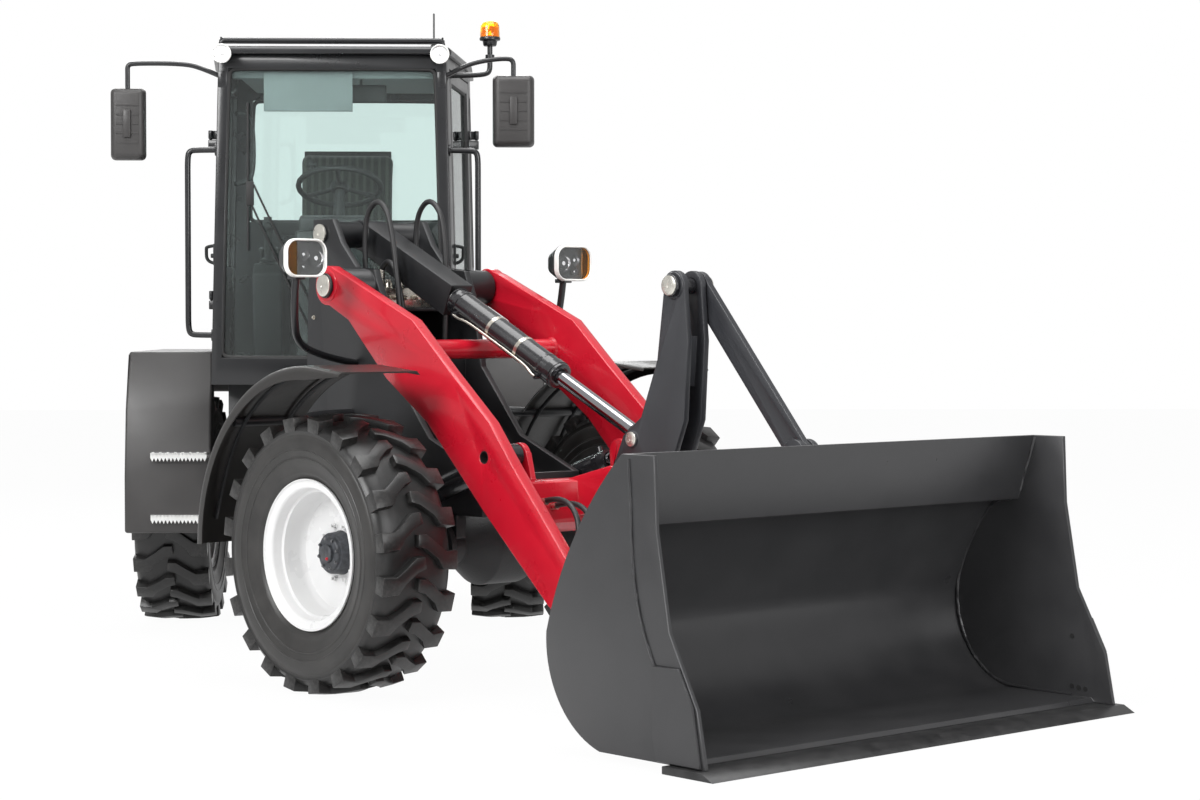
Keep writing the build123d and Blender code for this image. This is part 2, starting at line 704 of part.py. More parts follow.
fender_radius = 700
bracket_x = half_wheelbase - 540    # where a fender's bracket meets its skin
with BuildPart() as front_fenders:
    for side in (-1, 1):
        y_low, y_high = sorted((side * 560, side * 930))
        with BuildSketch(Plane.XZ.offset(-y_high)) as skin:
            with BuildLine():
                outer_arc = CenterArc((half_wheelbase, axle_height), fender_radius, 88, 92)
                inner_arc = CenterArc((half_wheelbase, axle_height), fender_radius - 12, 88, 92)
                Line(outer_arc @ 1, inner_arc @ 1)
                Polyline(inner_arc @ 0, (half_wheelbase + 250, 1190), (half_wheelbase + 250, 1202), outer_arc @ 0)
            make_face()
        extrude(skin.sketch, amount=y_high - y_low)
        # bracket from the tower out to the skin
        level_plate(
            [(480, side * tower_outer), (540, side * tower_outer), (540, side * 380),
             (bracket_x + 80, side * 560), (bracket_x + 80, side * 900), (bracket_x, side * 900),
             (bracket_x, side * 600), (480, side * 400)],
            1000, 1025,
        )
        y_low, y_high = sorted((side * 560, side * 900))
        block(bracket_x, bracket_x + 80, y_low, y_high, 985, 1010)
keep(front_fenders.part, "front_fenders", True)

lamp_centre = (760, 680, 1626)
with BuildPart() as headlamps:
    for side in (-1, 1):
        with BuildSketch(Plane.YZ.offset(lamp_centre[0] - 60)) as face:
            with Locations((side * lamp_centre[1], lamp_centre[2])):
                RectangleRounded(190, 148, 50)
        extrude(face.sketch, amount=110)
        for start, end in (((510, 205, 1215), (560, 410, 1240)), ((560, 410, 1240), (680, 640, 1300)),
                           ((680, 640, 1300), (740, 680, 1570))):
            rod((start[0], side * start[1], start[2]), (end[0], side * end[1], end[2]), 15)
    block(400, 700, -tower_outer, tower_outer, 1100, 1400, Mode.SUBTRACT)
keep(headlamps.part, "headlamps", True)

shelf_top = 1440
valve_top = 1520
port_top = 1545
valve_ports = [(420, -110), (480, -78), (480, 110), (420, 0), (420, 60)]
with BuildPart() as valve_block:
    block(380, 520, -135, 150, shelf_top, valve_top)
    for port in valve_ports:
        upright(port, 16, valve_top, port_top)
keep(valve_block.part, "valve_block", True)

# hoses as (y, bend, [(x, z), ...])
hose_routes = [
    (-110, 90, [(420, 1520), (390, 1780), (500, 1900), (610, 1760), (650, 1290)]),
    (110, 90, [(480, 1520), (440, 1780), (560, 1910), (680, 1750), (650, 1290)]),
    (-78, 40, [(480, 1520), (470, 1600), (540, 1640), (600, 1540), (650, 1290)]),
]
with BuildPart() as hydraulic_hoses:
    for hose_y, bend, route in hose_routes:
        tube([(x, hose_y, z) for x, z in route], 11, bend)
    block(350, 560, -200, 200, 1400, port_top, Mode.SUBTRACT)
    block(600, 720, -200, 200, 1200, 1300, Mode.SUBTRACT)
keep(hydraulic_hoses.part, "hydraulic_hoses", True)

# ---- boom and linkage ---------------------------------------------------------------------------------
arm_outline = [
    (540, 1475), (729, 1389), (971, 1165), (1227, 1001), (1554, 691), (1921, 369), (2230, 128), (2400, 112),
    (2470, 190), (2440, 262), (2260, 385), (2013, 549), (1730, 854), (1594, 1012), (1362, 1197), (1134, 1389),
    (670, 1577), (590, 1603), (520, 1560),
]
with BuildPart() as boom:
    for y_low, y_high in both_sides(arm_inner, arm_outer):
        side_plate(arm_outline, y_low, y_high)
        cross_bar(boom_pivot, pivot_boss, y_low, y_high)
        cross_bar(bucket_pivot, pivot_boss, y_low, y_high)
        cross_bar((1563, 884), 24, y_low, y_high, Mode.SUBTRACT)
    for pivot in (boom_pivot, bucket_pivot):
        cross_bar(pivot, boom_pin_radius + pin_play, -arm_outer - 1, arm_outer + 1, Mode.SUBTRACT)
    cross_bar((1000, 1275), 38, -arm_inner, arm_inner)
    # torsion box between the arms
    side_plate([(1520, 770), (1640, 800), (1700, 790), (1710, 640), (1660, 600), (1600, 665)], -arm_inner, arm_inner)
    # ears of the lift cylinders
    for y_low, y_high in both_sides(lift_y - lift_eye_width / 2 - gap - 25, lift_y - lift_eye_width / 2 - gap):
        side_plate([(1520, 760), (1640, 790), (1610, 900), (1510, 890)], y_low, y_high)
        cross_bar(lift_eye, 48, y_low, y_high)
    for y_low, y_high in both_sides(lift_y + lift_eye_width / 2 + gap, arm_inner):
        cross_bar(lift_eye, 48, y_low, y_high)
    # ears of the bellcrank
    for y_low, y_high in both_sides(crank_outer + gap, crank_outer + gap + 30):
        side_plate([(1640, 795), (1880, 855), (1940, 740), (1880, 705), (1700, 660)], y_low, y_high)
        cross_bar(bellcrank_pivot, 70, y_low, y_high)
    cross_bar(bellcrank_pivot, crank_pin_radius + pin_play, -200, 200, Mode.SUBTRACT)
keep(boom.part, "boom", True)

with BuildPart() as bellcrank_pin:
    cross_bar(bellcrank_pivot, crank_pin_radius, -crank_outer - gap - 40, crank_outer + gap + 40)
keep(bellcrank_pin.part, "bellcrank_pin", True)

crank_outline = [
    (2128, 1500), (2093, 1244), (2008, 1036), (1912, 965), (1826, 790), (1892, 716), (1955, 735), (2100, 800),
    (2183, 906), (2234, 1029), (2251, 1316), (2233, 1500),
]
with BuildPart() as bellcrank:
    for y_low, y_high in both_sides(crank_inner, crank_outer):
        side_plate(crank_outline, y_low, y_high)
        cross_bar(link_top, 54, y_low, y_high)
        cross_bar(bellcrank_pivot, 66, y_low, y_high)
    # spacer between the plates, clear of the rod eye
    side_plate([(2110, 1150), (2200, 1150), (2215, 1330), (2140, 1330)], -crank_inner, crank_inner)
    cross_bar(tilt_eye, 30, -crank_outer - 8, -crank_outer)
    cross_bar(bellcrank_pivot, crank_pin_radius + pin_play, -100, 100, Mode.SUBTRACT)
    cross_bar(link_top, 28 + pin_play, -100, 100, Mode.SUBTRACT)
keep(bellcrank.part, "bellcrank", True)

with BuildPart() as link_pin:
    cross_bar(link_top, 28, -crank_outer - 14, link_outer + 12)
    cross_bar(link_top, 40, -crank_outer - 22, -crank_outer - gap)
    cross_bar(link_top, 40, link_outer + gap, link_outer + gap + 12)
keep(link_pin.part, "link_pin", True)

with BuildPart() as tilt_link:
    run = Vector(link_low[0] - link_top[0], link_low[1] - link_top[1]).normalized() * 48
    side_plate(
        [(link_top[0] - run.Y, link_top[1] + run.X), (link_low[0] - run.Y, link_low[1] + run.X),
         (link_low[0] + run.Y, link_low[1] - run.X), (link_top[0] + run.Y, link_top[1] - run.X)],
        link_inner, link_outer,
    )
    for pivot in (link_top, link_low):
        cross_bar(pivot, 52, link_inner, link_outer)
        cross_bar(pivot, 28 + pin_play, link_inner - 1, link_outer + 1, Mode.SUBTRACT)
keep(tilt_link.part, "tilt_link", True)

with BuildPart() as bucket_pins:
    for side in (-1, 1):
        y_low, y_high = sorted((side * 336, side * 474))
        cross_bar(bucket_pivot, boom_pin_radius, y_low, y_high)
        for inner, outer in ((326, 339), (471, 484)):
            y_low, y_high = sorted((side * inner, side * outer))
            cross_bar(bucket_pivot, boom_pin_radius + 12, y_low, y_high)
keep(bucket_pins.part, "bucket_pins", True)

coupler_inner = arm_inner - gap - 27
with BuildPart() as quick_coupler:
    for inner in (coupler_inner, arm_outer + gap):
        for y_low, y_high in both_sides(inner, inner + 27):
            side_plate(
                [(2330, 170), (2370, 110), (2560, 120), (2575, 420), (2700, 655), (2760, 760), (2640, 760),
                 (2450, 400), (2340, 250)],
                y_low, y_high,
            )
            cross_bar(bucket_pivot, 74, y_low, y_high)
    for y_low, y_high in both_sides(coupler_inner, arm_outer + gap + 27):
        side_plate([(2545, 130), (2560, 130), (2575, 420), (2700, 655), (2680, 655), (2558, 425)], y_low, y_high)
    cross_bar(bucket_pivot, boom_pin_radius + pin_play, -600, 600, Mode.SUBTRACT)
    # ears of the tilt link and the beam halves that carry them
    ear_walls = ((link_inner - gap - 24, link_inner - gap), (link_outer + gap, link_outer + gap + 24))
    for y_low, y_high in ear_walls:
        side_plate([(2585, 600), (2660, 600), (2745, 900), (2640, 940)], y_low, y_high)
        cross_bar(link_low, 55, y_low, y_high)
    cross_bar(link_low, 26, ear_walls[0][0], ear_walls[1][1])
    for y_low, y_high in ((-coupler_inner, ear_walls[0][1]), (ear_walls[1][0], coupler_inner)):
        side_plate([(2585, 600), (2660, 600), (2685, 680), (2600, 680)], y_low, y_high)
keep(quick_coupler.part, "quick_coupler", True)

# ---- bucket -------------------------------------------------------------------------------------------
floor_z = edge_thick
with BuildPart() as bucket:
    with BuildSketch(Plane.XZ.offset(-bucket_half)) as shell_side:
        with BuildLine():
            Line((3250, floor_z), (2850, floor_z))
            ThreePointArc((2850, floor_z), (2665, 150), (2594, 385))
            ThreePointArc((2594, 385), (2700, 645), (2955, 971))
            Line((2955, 971), (2975, 971))
            Polyline((2975, 971), (2900, 735), (2790, 735))
            ThreePointArc((2790, 735), (2690, 590), (2594 + shell_wall, 385))
            ThreePointArc((2594 + shell_wall, 385), (2675, 158), (2853, floor_z + 16))
            Polyline((2853, floor_z + 16), (3235, floor_z + 16), (3250, floor_z))
        make_face()
    extrude(shell_side.sketch, amount=2 * bucket_half)
    for y_low, y_high in both_sides(bucket_half - side_wall, bucket_half):
        with BuildSketch(Plane.XZ.offset(-y_high)) as cheek:
            with BuildLine():
                Line((3330, floor_z), (2850, floor_z))
                ThreePointArc((2850, floor_z), (2665, 150), (2594, 385))
                ThreePointArc((2594, 385), (2700, 645), (2955, 971))
                Polyline((2955, 971), (3102, 971), (3112, 735), (3169, 430), (3293, 204), (3330, floor_z))
            make_face()
        extrude(cheek.sketch, amount=y_high - y_low)
    # brackets that the coupler holds
    for y_low, y_high in both_sides(coupler_inner - 34, coupler_inner):
        side_plate(
            [(2500, 150), (2645, 190), (2608, 290), (2600, 385), (2628, 470), (2662, 560), (2560, 480),
             (2500, 330)],
            y_low, y_high,
        )
keep(bucket.part, "bucket", True)

with BuildPart() as cutting_edge:
    side_plate([(3170, 0), (edge_tip, 0), (3345, edge_thick), (3170, edge_thick)], -edge_half, edge_half)
keep(cutting_edge.part, "cutting_edge", True)


# ---- cylinders ----------------------------------------------------------------------------------------
# The two ends of a cylinder, at its pins' (x, z) and a given y.
def pin_line(start, end, y):
    return (start[0], y, start[1]), (end[0], y, end[1])


# The point a given distance from start on the way to end.
def along(start, end, distance):
    run = Vector(*end) - Vector(*start)
    return tuple(Vector(*start) + run.normalized() * distance)


lift_barrel_length = 1130
with BuildPart() as lift_barrels:
    for side in (-1, 1):
        foot, eye = pin_line(lift_base, lift_eye, side * lift_y)
        y_low, y_high = side * lift_y - lift_eye_width / 2, side * lift_y + lift_eye_width / 2
        rod(along(foot, eye, 40), along(foot, eye, lift_barrel_length), lift_barrel_radius)
        cross_bar(lift_base, 45, y_low, y_high)
        cross_bar(lift_base, 28 + pin_play, y_low, y_high, Mode.SUBTRACT)
        rod(along(foot, eye, 80), along(foot, eye, lift_barrel_length + 1), lift_rod_radius + pin_play,
            Mode.SUBTRACT)
keep(lift_barrels.part, "lift_barrels", True)

with BuildPart() as lift_rods:
    for side in (-1, 1):
        foot, eye = pin_line(lift_base, lift_eye, side * lift_y)
        rod(along(foot, eye, 100), eye, lift_rod_radius)
        cross_bar(lift_eye, 45, side * lift_y - lift_eye_width / 2, side * lift_y + lift_eye_width / 2)
        cross_bar(lift_eye, 26, side * lift_y - lift_eye_width / 2, side * lift_y + lift_eye_width / 2, Mode.SUBTRACT)
keep(lift_rods.part, "lift_rods", True)

# distances along the tilt cylinder from the pin of its fork
tilt_fork_length = 640
tilt_barrel_length = 1325
tilt_bore_start = 345
piston_start = 700
piston_end = 955
tilt_rod_start = 1065
with BuildPart() as tilt_barrel:
    foot, eye = pin_line(tilt_base, tilt_eye, 0)
    run = (Vector(*eye) - Vector(*foot)).normalized()
    rise = Vector(-run.Z, 0, run.X)
    fork = [(0, 58), (tilt_fork_length, 66), (tilt_fork_length, -66), (0, -58)]
    side_plate([(tilt_base[0] + run.X * s + rise.X * h, tilt_base[1] + run.Z * s + rise.Z * h) for s, h in fork],
               -55, 55)
    cross_bar(tilt_base, 62, -60, 60)
    rod(along(foot, eye, tilt_fork_length - 20), along(foot, eye, tilt_barrel_length), tilt_barrel_radius)
    rod(along(foot, eye, tilt_bore_start), along(foot, eye, tilt_barrel_length + 1),
        tilt_rod_radius + pin_play, Mode.SUBTRACT)
    cross_bar(tilt_base, 32 + pin_play, -61, 61, Mode.SUBTRACT)
keep(tilt_barrel.part, "tilt_barrel", True)

with BuildPart() as tilt_piston:
    rod(along(foot, eye, piston_start), along(foot, eye, piston_end), tilt_rod_radius)
keep(tilt_piston.part, "tilt_piston", True)

with BuildPart() as tilt_rod:
    rod(along(foot, eye, tilt_rod_start), eye, tilt_rod_radius)
    side_plate([(tilt_eye[0] - 41, tilt_eye[1] + 53), (tilt_eye[0] + 17, tilt_eye[1] + 36),
                (tilt_eye[0] - 17, tilt_eye[1] - 36), (tilt_eye[0] - 67, tilt_eye[1] - 1)],
               -tilt_eye_width / 2, tilt_eye_width / 2)
    cross_bar(tilt_eye, 44, -tilt_eye_width / 2, tilt_eye_width / 2)
    cross_bar(tilt_eye, 26, -tilt_eye_width / 2, tilt_eye_width / 2, Mode.SUBTRACT)
keep(tilt_rod.part, "tilt_rod", True)

steer_barrel_length = 600
closed_foot = 100           # where a closed rod starts in its barrel
closed_reach = 0            # the left cylinder is closed as the machine stands
for side, place in ((1, "left"), (-1, "right")):
    turned_eye = Vector(steer_eye[0], side * steer_eye[1], 0).rotate(Axis.Z, turned_left)
    foot = (steer_base[0], side * steer_base[1], steer_z)
    eye = (turned_eye.X, turned_eye.Y, steer_z)
    reach = (Vector(*eye) - Vector(*foot)).length
    closed_reach = closed_reach or reach
    z_low, z_high = steer_z - steer_eye_height / 2, steer_z + steer_eye_height / 2
    with BuildPart() as steer_barrel:
        rod(along(foot, eye, 48), along(foot, eye, steer_barrel_length), steer_barrel_radius)
        rod(along(foot, eye, 20), along(foot, eye, 50), steer_rod_radius)
        upright(foot[:2], 36, z_low, z_high)
        upright(foot[:2], 20 + pin_play, z_low - 1, z_high + 1, Mode.SUBTRACT)
        rod(along(foot, eye, 80), along(foot, eye, steer_barrel_length + 1), steer_rod_radius + pin_play, Mode.SUBTRACT)
    keep(steer_barrel.part, f"steer_barrel_{place}")
    with BuildPart() as steer_rod:
        rod(along(foot, eye, closed_foot + reach - closed_reach), eye, steer_rod_radius)
        upright(eye[:2], 38, z_low, z_high)
        upright(eye[:2], 18, z_low - 1, z_high + 1, Mode.SUBTRACT)
    keep(steer_rod.part, f"steer_rod_{place}")

# ---- the machine as it stands ---------------------------------------------------------------------------
front_turn = Location((0, 0, 0), (0, 0, turned_left))
standing = [(label, piece.moved(front_turn) if on_front else piece) for label, piece, on_front in all_pieces]
boxes = [piece.bounding_box() for label, piece in standing]
middle_x = (min(box.min.X for box in boxes) + max(box.max.X for box in boxes)) / 2
middle_y = (min(box.min.Y for box in boxes) + max(box.max.Y for box in boxes)) / 2
lowest = min(box.min.Z for box in boxes)
print("articulation axis at", -middle_x, -middle_y, "floor at", lowest)
for label, piece in standing:
    placed = piece.moved(Location((-middle_x, -middle_y, -lowest)))
    placed.label = label
    export_step(placed, f"parts/{label}.step")
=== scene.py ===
import json
import math
import random
import bpy
import bmesh
from mathutils import Matrix, Vector


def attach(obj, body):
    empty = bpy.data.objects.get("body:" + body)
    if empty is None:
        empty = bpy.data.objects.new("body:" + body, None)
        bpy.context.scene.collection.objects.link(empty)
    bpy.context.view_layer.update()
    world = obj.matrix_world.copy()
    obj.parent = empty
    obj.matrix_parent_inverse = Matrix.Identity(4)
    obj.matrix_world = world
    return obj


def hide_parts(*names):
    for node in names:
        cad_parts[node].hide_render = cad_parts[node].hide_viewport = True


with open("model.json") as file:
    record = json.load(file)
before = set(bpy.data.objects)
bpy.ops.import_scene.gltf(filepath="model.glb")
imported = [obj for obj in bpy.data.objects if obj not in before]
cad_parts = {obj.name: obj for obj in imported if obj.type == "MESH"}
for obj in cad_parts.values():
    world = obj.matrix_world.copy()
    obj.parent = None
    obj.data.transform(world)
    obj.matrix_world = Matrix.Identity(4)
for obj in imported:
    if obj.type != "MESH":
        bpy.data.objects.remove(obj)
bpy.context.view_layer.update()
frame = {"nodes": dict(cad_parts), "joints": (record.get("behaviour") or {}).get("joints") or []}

# Both halves are drawn in metres about the articulation axis at floor level, x forward and y left.
# The front half is drawn straight ahead and turned into place with frontHalf.
jointNamed = {joint["name"]: joint for joint in frame["joints"]}
hingeLine = jointNamed["articulation"]["pos_m"]
machine = {"turned": 40, "halfWheelbase": 1.1, "track": 1.51}
rearHalf = Matrix.Translation((hingeLine[0], hingeLine[1], 0))
frontHalf = rearHalf @ Matrix.Rotation(math.radians(machine["turned"]), 4, "Z")
axleZ = jointNamed["spin_front_right"]["pos_m"][2]


# Mesh helpers: each adds a shape to an open bmesh and gives back its vertices.
def newOnes(bm, before):
    bm.verts.ensure_lookup_table()
    return [v for v in bm.verts if v not in before]


def addPlate(bm, outline, low, high, across="y"):
    before = set(bm.verts)
    spots = {"y": lambda a, b: (a, low, b), "x": lambda a, b: (low, a, b), "z": lambda a, b: (a, b, low)}[across]
    way = {"y": (0, high - low, 0), "x": (high - low, 0, 0), "z": (0, 0, high - low)}[across]
    face = bm.faces.new([bm.verts.new(spots(a, b)) for a, b in outline])
    grown = bmesh.ops.extrude_face_region(bm, geom=[face])
    bmesh.ops.translate(bm, verts=[g for g in grown["geom"] if isinstance(g, bmesh.types.BMVert)], vec=way)
    return newOnes(bm, before)


def addBlock(bm, low, high):
    size = Vector(high) - Vector(low)
    middle = (Vector(high) + Vector(low)) / 2
    shape = bmesh.ops.create_cube(bm, size=1, matrix=Matrix.Translation(middle) @ Matrix.Diagonal((*size, 1)))
    return shape["verts"]


# A round bar or cone from start to end.
def addBar(bm, start, end, radius, endRadius=None, steps=24):
    run = Vector(end) - Vector(start)
    middle = (Vector(start) + Vector(end)) / 2
    place = Matrix.Translation(middle) @ run.to_track_quat("Z", "Y").to_matrix().to_4x4()
    shape = bmesh.ops.create_cone(
        bm, cap_ends=True, segments=steps, radius1=radius, radius2=radius if endRadius is None else endRadius,
        depth=run.length, matrix=place)
    return shape["verts"]


# A profile of (radius, distance along the axis) points turned about an axis through centre.
def addTurned(bm, profile, centre=(0, 0, 0), axis="y", steps=48, closed=False):
    before = set(bm.verts)
    spots = {"y": lambda r, d: (0, d, r), "x": lambda r, d: (d, 0, r), "z": lambda r, d: (r, 0, d)}[axis]
    points = [bm.verts.new(Vector(spots(r, d)) + Vector(centre)) for r, d in profile]
    edges = [bm.edges.new(pair) for pair in zip(points, points[1:])]
    if closed:
        edges.append(bm.edges.new((points[-1], points[0])))
    axisVector = {"y": (0, 1, 0), "x": (1, 0, 0), "z": (0, 0, 1)}[axis]
    bmesh.ops.spin(bm, geom=points + edges, cent=centre, axis=axisVector, angle=math.radians(360), steps=steps,
                   use_merge=True)
    bmesh.ops.remove_doubles(bm, verts=newOnes(bm, before), dist=0.00005)
    return newOnes(bm, before)


# A round tube through points, with its corners rounded by the spline it becomes.
def addTube(bm, points, radius, steps=12, smooth=6, closed=False):
    line = bpy.data.curves.new("line", "CURVE")
    line.dimensions = "3D"
    line.resolution_u = smooth
    line.bevel_depth = radius
    line.bevel_resolution = max(1, steps // 4)
    line.use_fill_caps = True
    spline = line.splines.new("NURBS")
    spline.points.add(len(points) - 1)
    for point, spot in zip(spline.points, points):
        point.co = (*spot, 1)
    spline.order_u = 3
    spline.use_endpoint_u = not closed
    spline.use_cyclic_u = closed
    holder = bpy.data.objects.new("line", line)
    mesh = bpy.data.meshes.new_from_object(holder)
    before = set(bm.verts)
    bm.from_mesh(mesh)
    bpy.data.objects.remove(holder)
    bpy.data.curves.remove(line)
    bpy.data.meshes.remove(mesh)
    return newOnes(bm, before)


def addHexHead(bm, spot, way, size, tall=None):
    way = Vector(way).normalized()
    spot = Vector(spot)
    tall = tall or size * 0.62
    addBar(bm, spot, spot + way * tall * 0.25, size * 0.78, steps=16)
    addBar(bm, spot + way * tall * 0.25, spot + way * tall, size * 0.58, size * 0.54, steps=6)


# A bead of weld along a line: a slim tube with an uneven surface.
def addWeld(bm, points, radius=0.005):
    fresh = addTube(bm, points, radius, steps=8, smooth=10)
    draw = random.Random(7)
    for v in fresh:
        v.co += Vector((draw.uniform(-1, 1), draw.uniform(-1, 1), draw.uniform(-1, 1))) * radius * 0.16


def roundEdges(bm, verts=None, width=0.003, segments=2, sharper=30):
    pool = set(verts) if verts is not None else None
    edges = [e for e in bm.edges
             if len(e.link_faces) == 2 and e.calc_face_angle(0) > math.radians(sharper)
             and (pool is None or (e.verts[0] in pool and e.verts[1] in pool))]
    if edges:
        bmesh.ops.bevel(bm, geom=edges, offset=width, segments=segments, affect="EDGES", profile=0.5,
                        material=-1, clamp_overlap=False)


# Writes a bmesh as a piece: puts it in place, shades it and gives it to its body.
def finishPiece(bm, name, body, look, place=rearHalf, smooth=38, instead=()):
    bmesh.ops.remove_doubles(bm, verts=bm.verts, dist=0.00004)
    bmesh.ops.recalc_face_normals(bm, faces=bm.faces)
    bmesh.ops.transform(bm, matrix=place, verts=bm.verts)
    mesh = bpy.data.meshes.new(name)
    bm.to_mesh(mesh)
    bm.free()
    mesh.polygons.foreach_set("use_smooth", [True] * len(mesh.polygons))
    mesh.set_sharp_from_angle(angle=math.radians(smooth))
    piece = bpy.data.objects.new(name, mesh)
    bpy.context.scene.collection.objects.link(piece)
    slotName, material = looks[look]
    mesh.materials.append(material)
    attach(piece, body)
    if instead:
        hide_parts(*instead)
    return piece


# A CAD node's own shape with its sharp edges rounded, in place of the node.
def roundedNode(node, body, look, width=0.003, segments=2, sharper=30, smooth=38, name=None, flatten=True):
    bm = bmesh.new()
    bm.from_mesh(frame["nodes"][node].data)
    bmesh.ops.remove_doubles(bm, verts=bm.verts, dist=0.0004)
    if flatten:
        bmesh.ops.dissolve_limit(bm, angle_limit=math.radians(0.8), verts=bm.verts, edges=bm.edges)
    roundEdges(bm, width=width, segments=segments, sharper=sharper)
    return finishPiece(bm, name or node + "_finish", body, look, Matrix.Identity(4), smooth, instead=(node,))


def paintNode(node, look):
    shown = frame["nodes"][node]
    shown.data.materials.clear()
    shown.data.materials.append(looks[look][1])


# Effects that finishes share are node groups; the shaders stay in each material.
def newGroup(name, inputs, outputs):
    group = bpy.data.node_groups.new(name, "ShaderNodeTree")
    for label, value in inputs:
        socket = group.interface.new_socket(label, in_out="INPUT", socket_type="NodeSocketFloat")
        socket.default_value = value
    for label in outputs:
        group.interface.new_socket(label, in_out="OUTPUT", socket_type="NodeSocketFloat")
    return group, group.nodes.new("NodeGroupInput"), group.nodes.new("NodeGroupOutput")


def addMath(tree, operation, a, b=0.5, c=None, clamp=False):
    node = tree.nodes.new("ShaderNodeMath")
    node.operation = operation
    node.use_clamp = clamp
    for socket, value in zip(node.inputs, (a, b, c)):
        if isinstance(value, bpy.types.NodeSocket):
            tree.links.new(value, socket)
        elif value is not None:
            socket.default_value = value
    return node.outputs[0]


def addRange(tree, value, low, high, start=0.0, end=1.0):
    node = tree.nodes.new("ShaderNodeMapRange")
    tree.links.new(value, node.inputs["Value"])
    for label, level in (("From Min", low), ("From Max", high), ("To Min", start), ("To Max", end)):
        if isinstance(level, bpy.types.NodeSocket):
            tree.links.new(level, node.inputs[label])
        else:
            node.inputs[label].default_value = level
    return node.outputs[0]


def addNoise(tree, vector, scale, detail=4, roughness=0.55):
    node = tree.nodes.new("ShaderNodeTexNoise")
    tree.links.new(vector, node.inputs["Vector"])
    if isinstance(scale, bpy.types.NodeSocket):
        tree.links.new(scale, node.inputs["Scale"])
    else:
        node.inputs["Scale"].default_value = scale
    node.inputs["Detail"].default_value = detail
    node.inputs["Roughness"].default_value = roughness
    return node.outputs["Fac"]


# Bare edges, dust that settles on top and low down, and broad cloudiness.
def makeWearGroup():
    group, given, result = newGroup(
        "wearAndDust", [("Edge", 0.3), ("Dust", 0.3), ("Scale", 8.0)], ["EdgeMask", "DustMask", "Cloud"])
    spots = group.nodes.new("ShaderNodeTexCoord").outputs["Object"]
    geometry = group.nodes.new("ShaderNodeNewGeometry")
    broad = addNoise(group, spots, given.outputs["Scale"], 5)
    fine = addNoise(group, spots, 90, 4)
    edges = addRange(group, geometry.outputs["Pointiness"], 0.53, 0.66)
    broken = addMath(group, "MULTIPLY", edges, addRange(group, fine, 0.42, 0.62))
    edgeMask = addMath(group, "MULTIPLY", broken, given.outputs["Edge"], clamp=True)
    parts = group.nodes.new("ShaderNodeSeparateXYZ")
    group.links.new(geometry.outputs["Normal"], parts.inputs[0])
    height = group.nodes.new("ShaderNodeSeparateXYZ")
    group.links.new(spots, height.inputs[0])
    lying = addRange(group, parts.outputs["Z"], 0.3, 1.0)
    low = addRange(group, height.outputs["Z"], 1.1, 0.0)
    settled = addMath(group, "ADD", addMath(group, "MULTIPLY", lying, 0.7), addMath(group, "MULTIPLY", low, 0.45))
    dust = addMath(group, "MULTIPLY", settled, addRange(group, broad, 0.38, 0.75))
    group.links.new(edgeMask, result.inputs["EdgeMask"])
    group.links.new(addMath(group, "MULTIPLY", dust, given.outputs["Dust"], clamp=True), result.inputs["DustMask"])
    group.links.new(broad, result.inputs["Cloud"])
    return group


# Fine relief: sprayed paint, moulded plastic or cast metal, by its scale and how pebbly it is.
def makeGrainGroup():
    group, given, result = newGroup("surfaceGrain", [("Scale", 300.0), ("Pebble", 0.5)], ["Height"])
    spots = group.nodes.new("ShaderNodeTexCoord").outputs["Object"]
    soft = addNoise(group, spots, given.outputs["Scale"], 3)
    cells = group.nodes.new("ShaderNodeTexVoronoi")
    group.links.new(spots, cells.inputs["Vector"])
    group.links.new(given.outputs["Scale"], cells.inputs["Scale"])
    pebbles = addMath(group, "MULTIPLY", cells.outputs["Distance"], given.outputs["Pebble"])
    group.links.new(addMath(group, "ADD", soft, pebbles), result.inputs["Height"])
    return group


# Woven seat cloth: crossed threads with darker stripes.
def makeWeaveGroup():
    group, given, result = newGroup("clothWeave", [("Scale", 900.0)], ["Height", "Stripe"])
    spots = group.nodes.new("ShaderNodeTexCoord").outputs["Object"]
    waves = []
    for direction in ("X", "Y", "Z"):
        wave = group.nodes.new("ShaderNodeTexWave")
        wave.bands_direction = direction
        group.links.new(spots, wave.inputs["Vector"])
        group.links.new(given.outputs["Scale"], wave.inputs["Scale"])
        wave.inputs["Distortion"].default_value = 0.4
        waves.append(wave.outputs["Fac"])
    stripe = group.nodes.new("ShaderNodeTexWave")
    stripe.bands_direction = "Y"
    group.links.new(spots, stripe.inputs["Vector"])
    stripe.inputs["Scale"].default_value = 9.0
    total = addMath(group, "ADD", addMath(group, "MULTIPLY", waves[0], waves[1]), waves[2])
    group.links.new(total, result.inputs["Height"])
    group.links.new(addRange(group, stripe.outputs["Fac"], 0.55, 0.8), result.inputs["Stripe"])
    return group


wearGroup = makeWearGroup()
grainGroup = makeGrainGroup()
weaveGroup = makeWeaveGroup()


def useGroup(tree, group, **values):
    node = tree.nodes.new("ShaderNodeGroup")
    node.node_tree = group
    for label, value in values.items():
        node.inputs[label].default_value = value
    return node


def addMix(tree, amount, first, second):
    node = tree.nodes.new("ShaderNodeMix")
    node.data_type = "RGBA"
    tree.links.new(amount, node.inputs["Factor"])
    for socket, value in ((node.inputs["A"], first), (node.inputs["B"], second)):
        if isinstance(value, bpy.types.NodeSocket):
            tree.links.new(value, socket)
        else:
            socket.default_value = (*value, 1)
    return node.outputs["Result"]


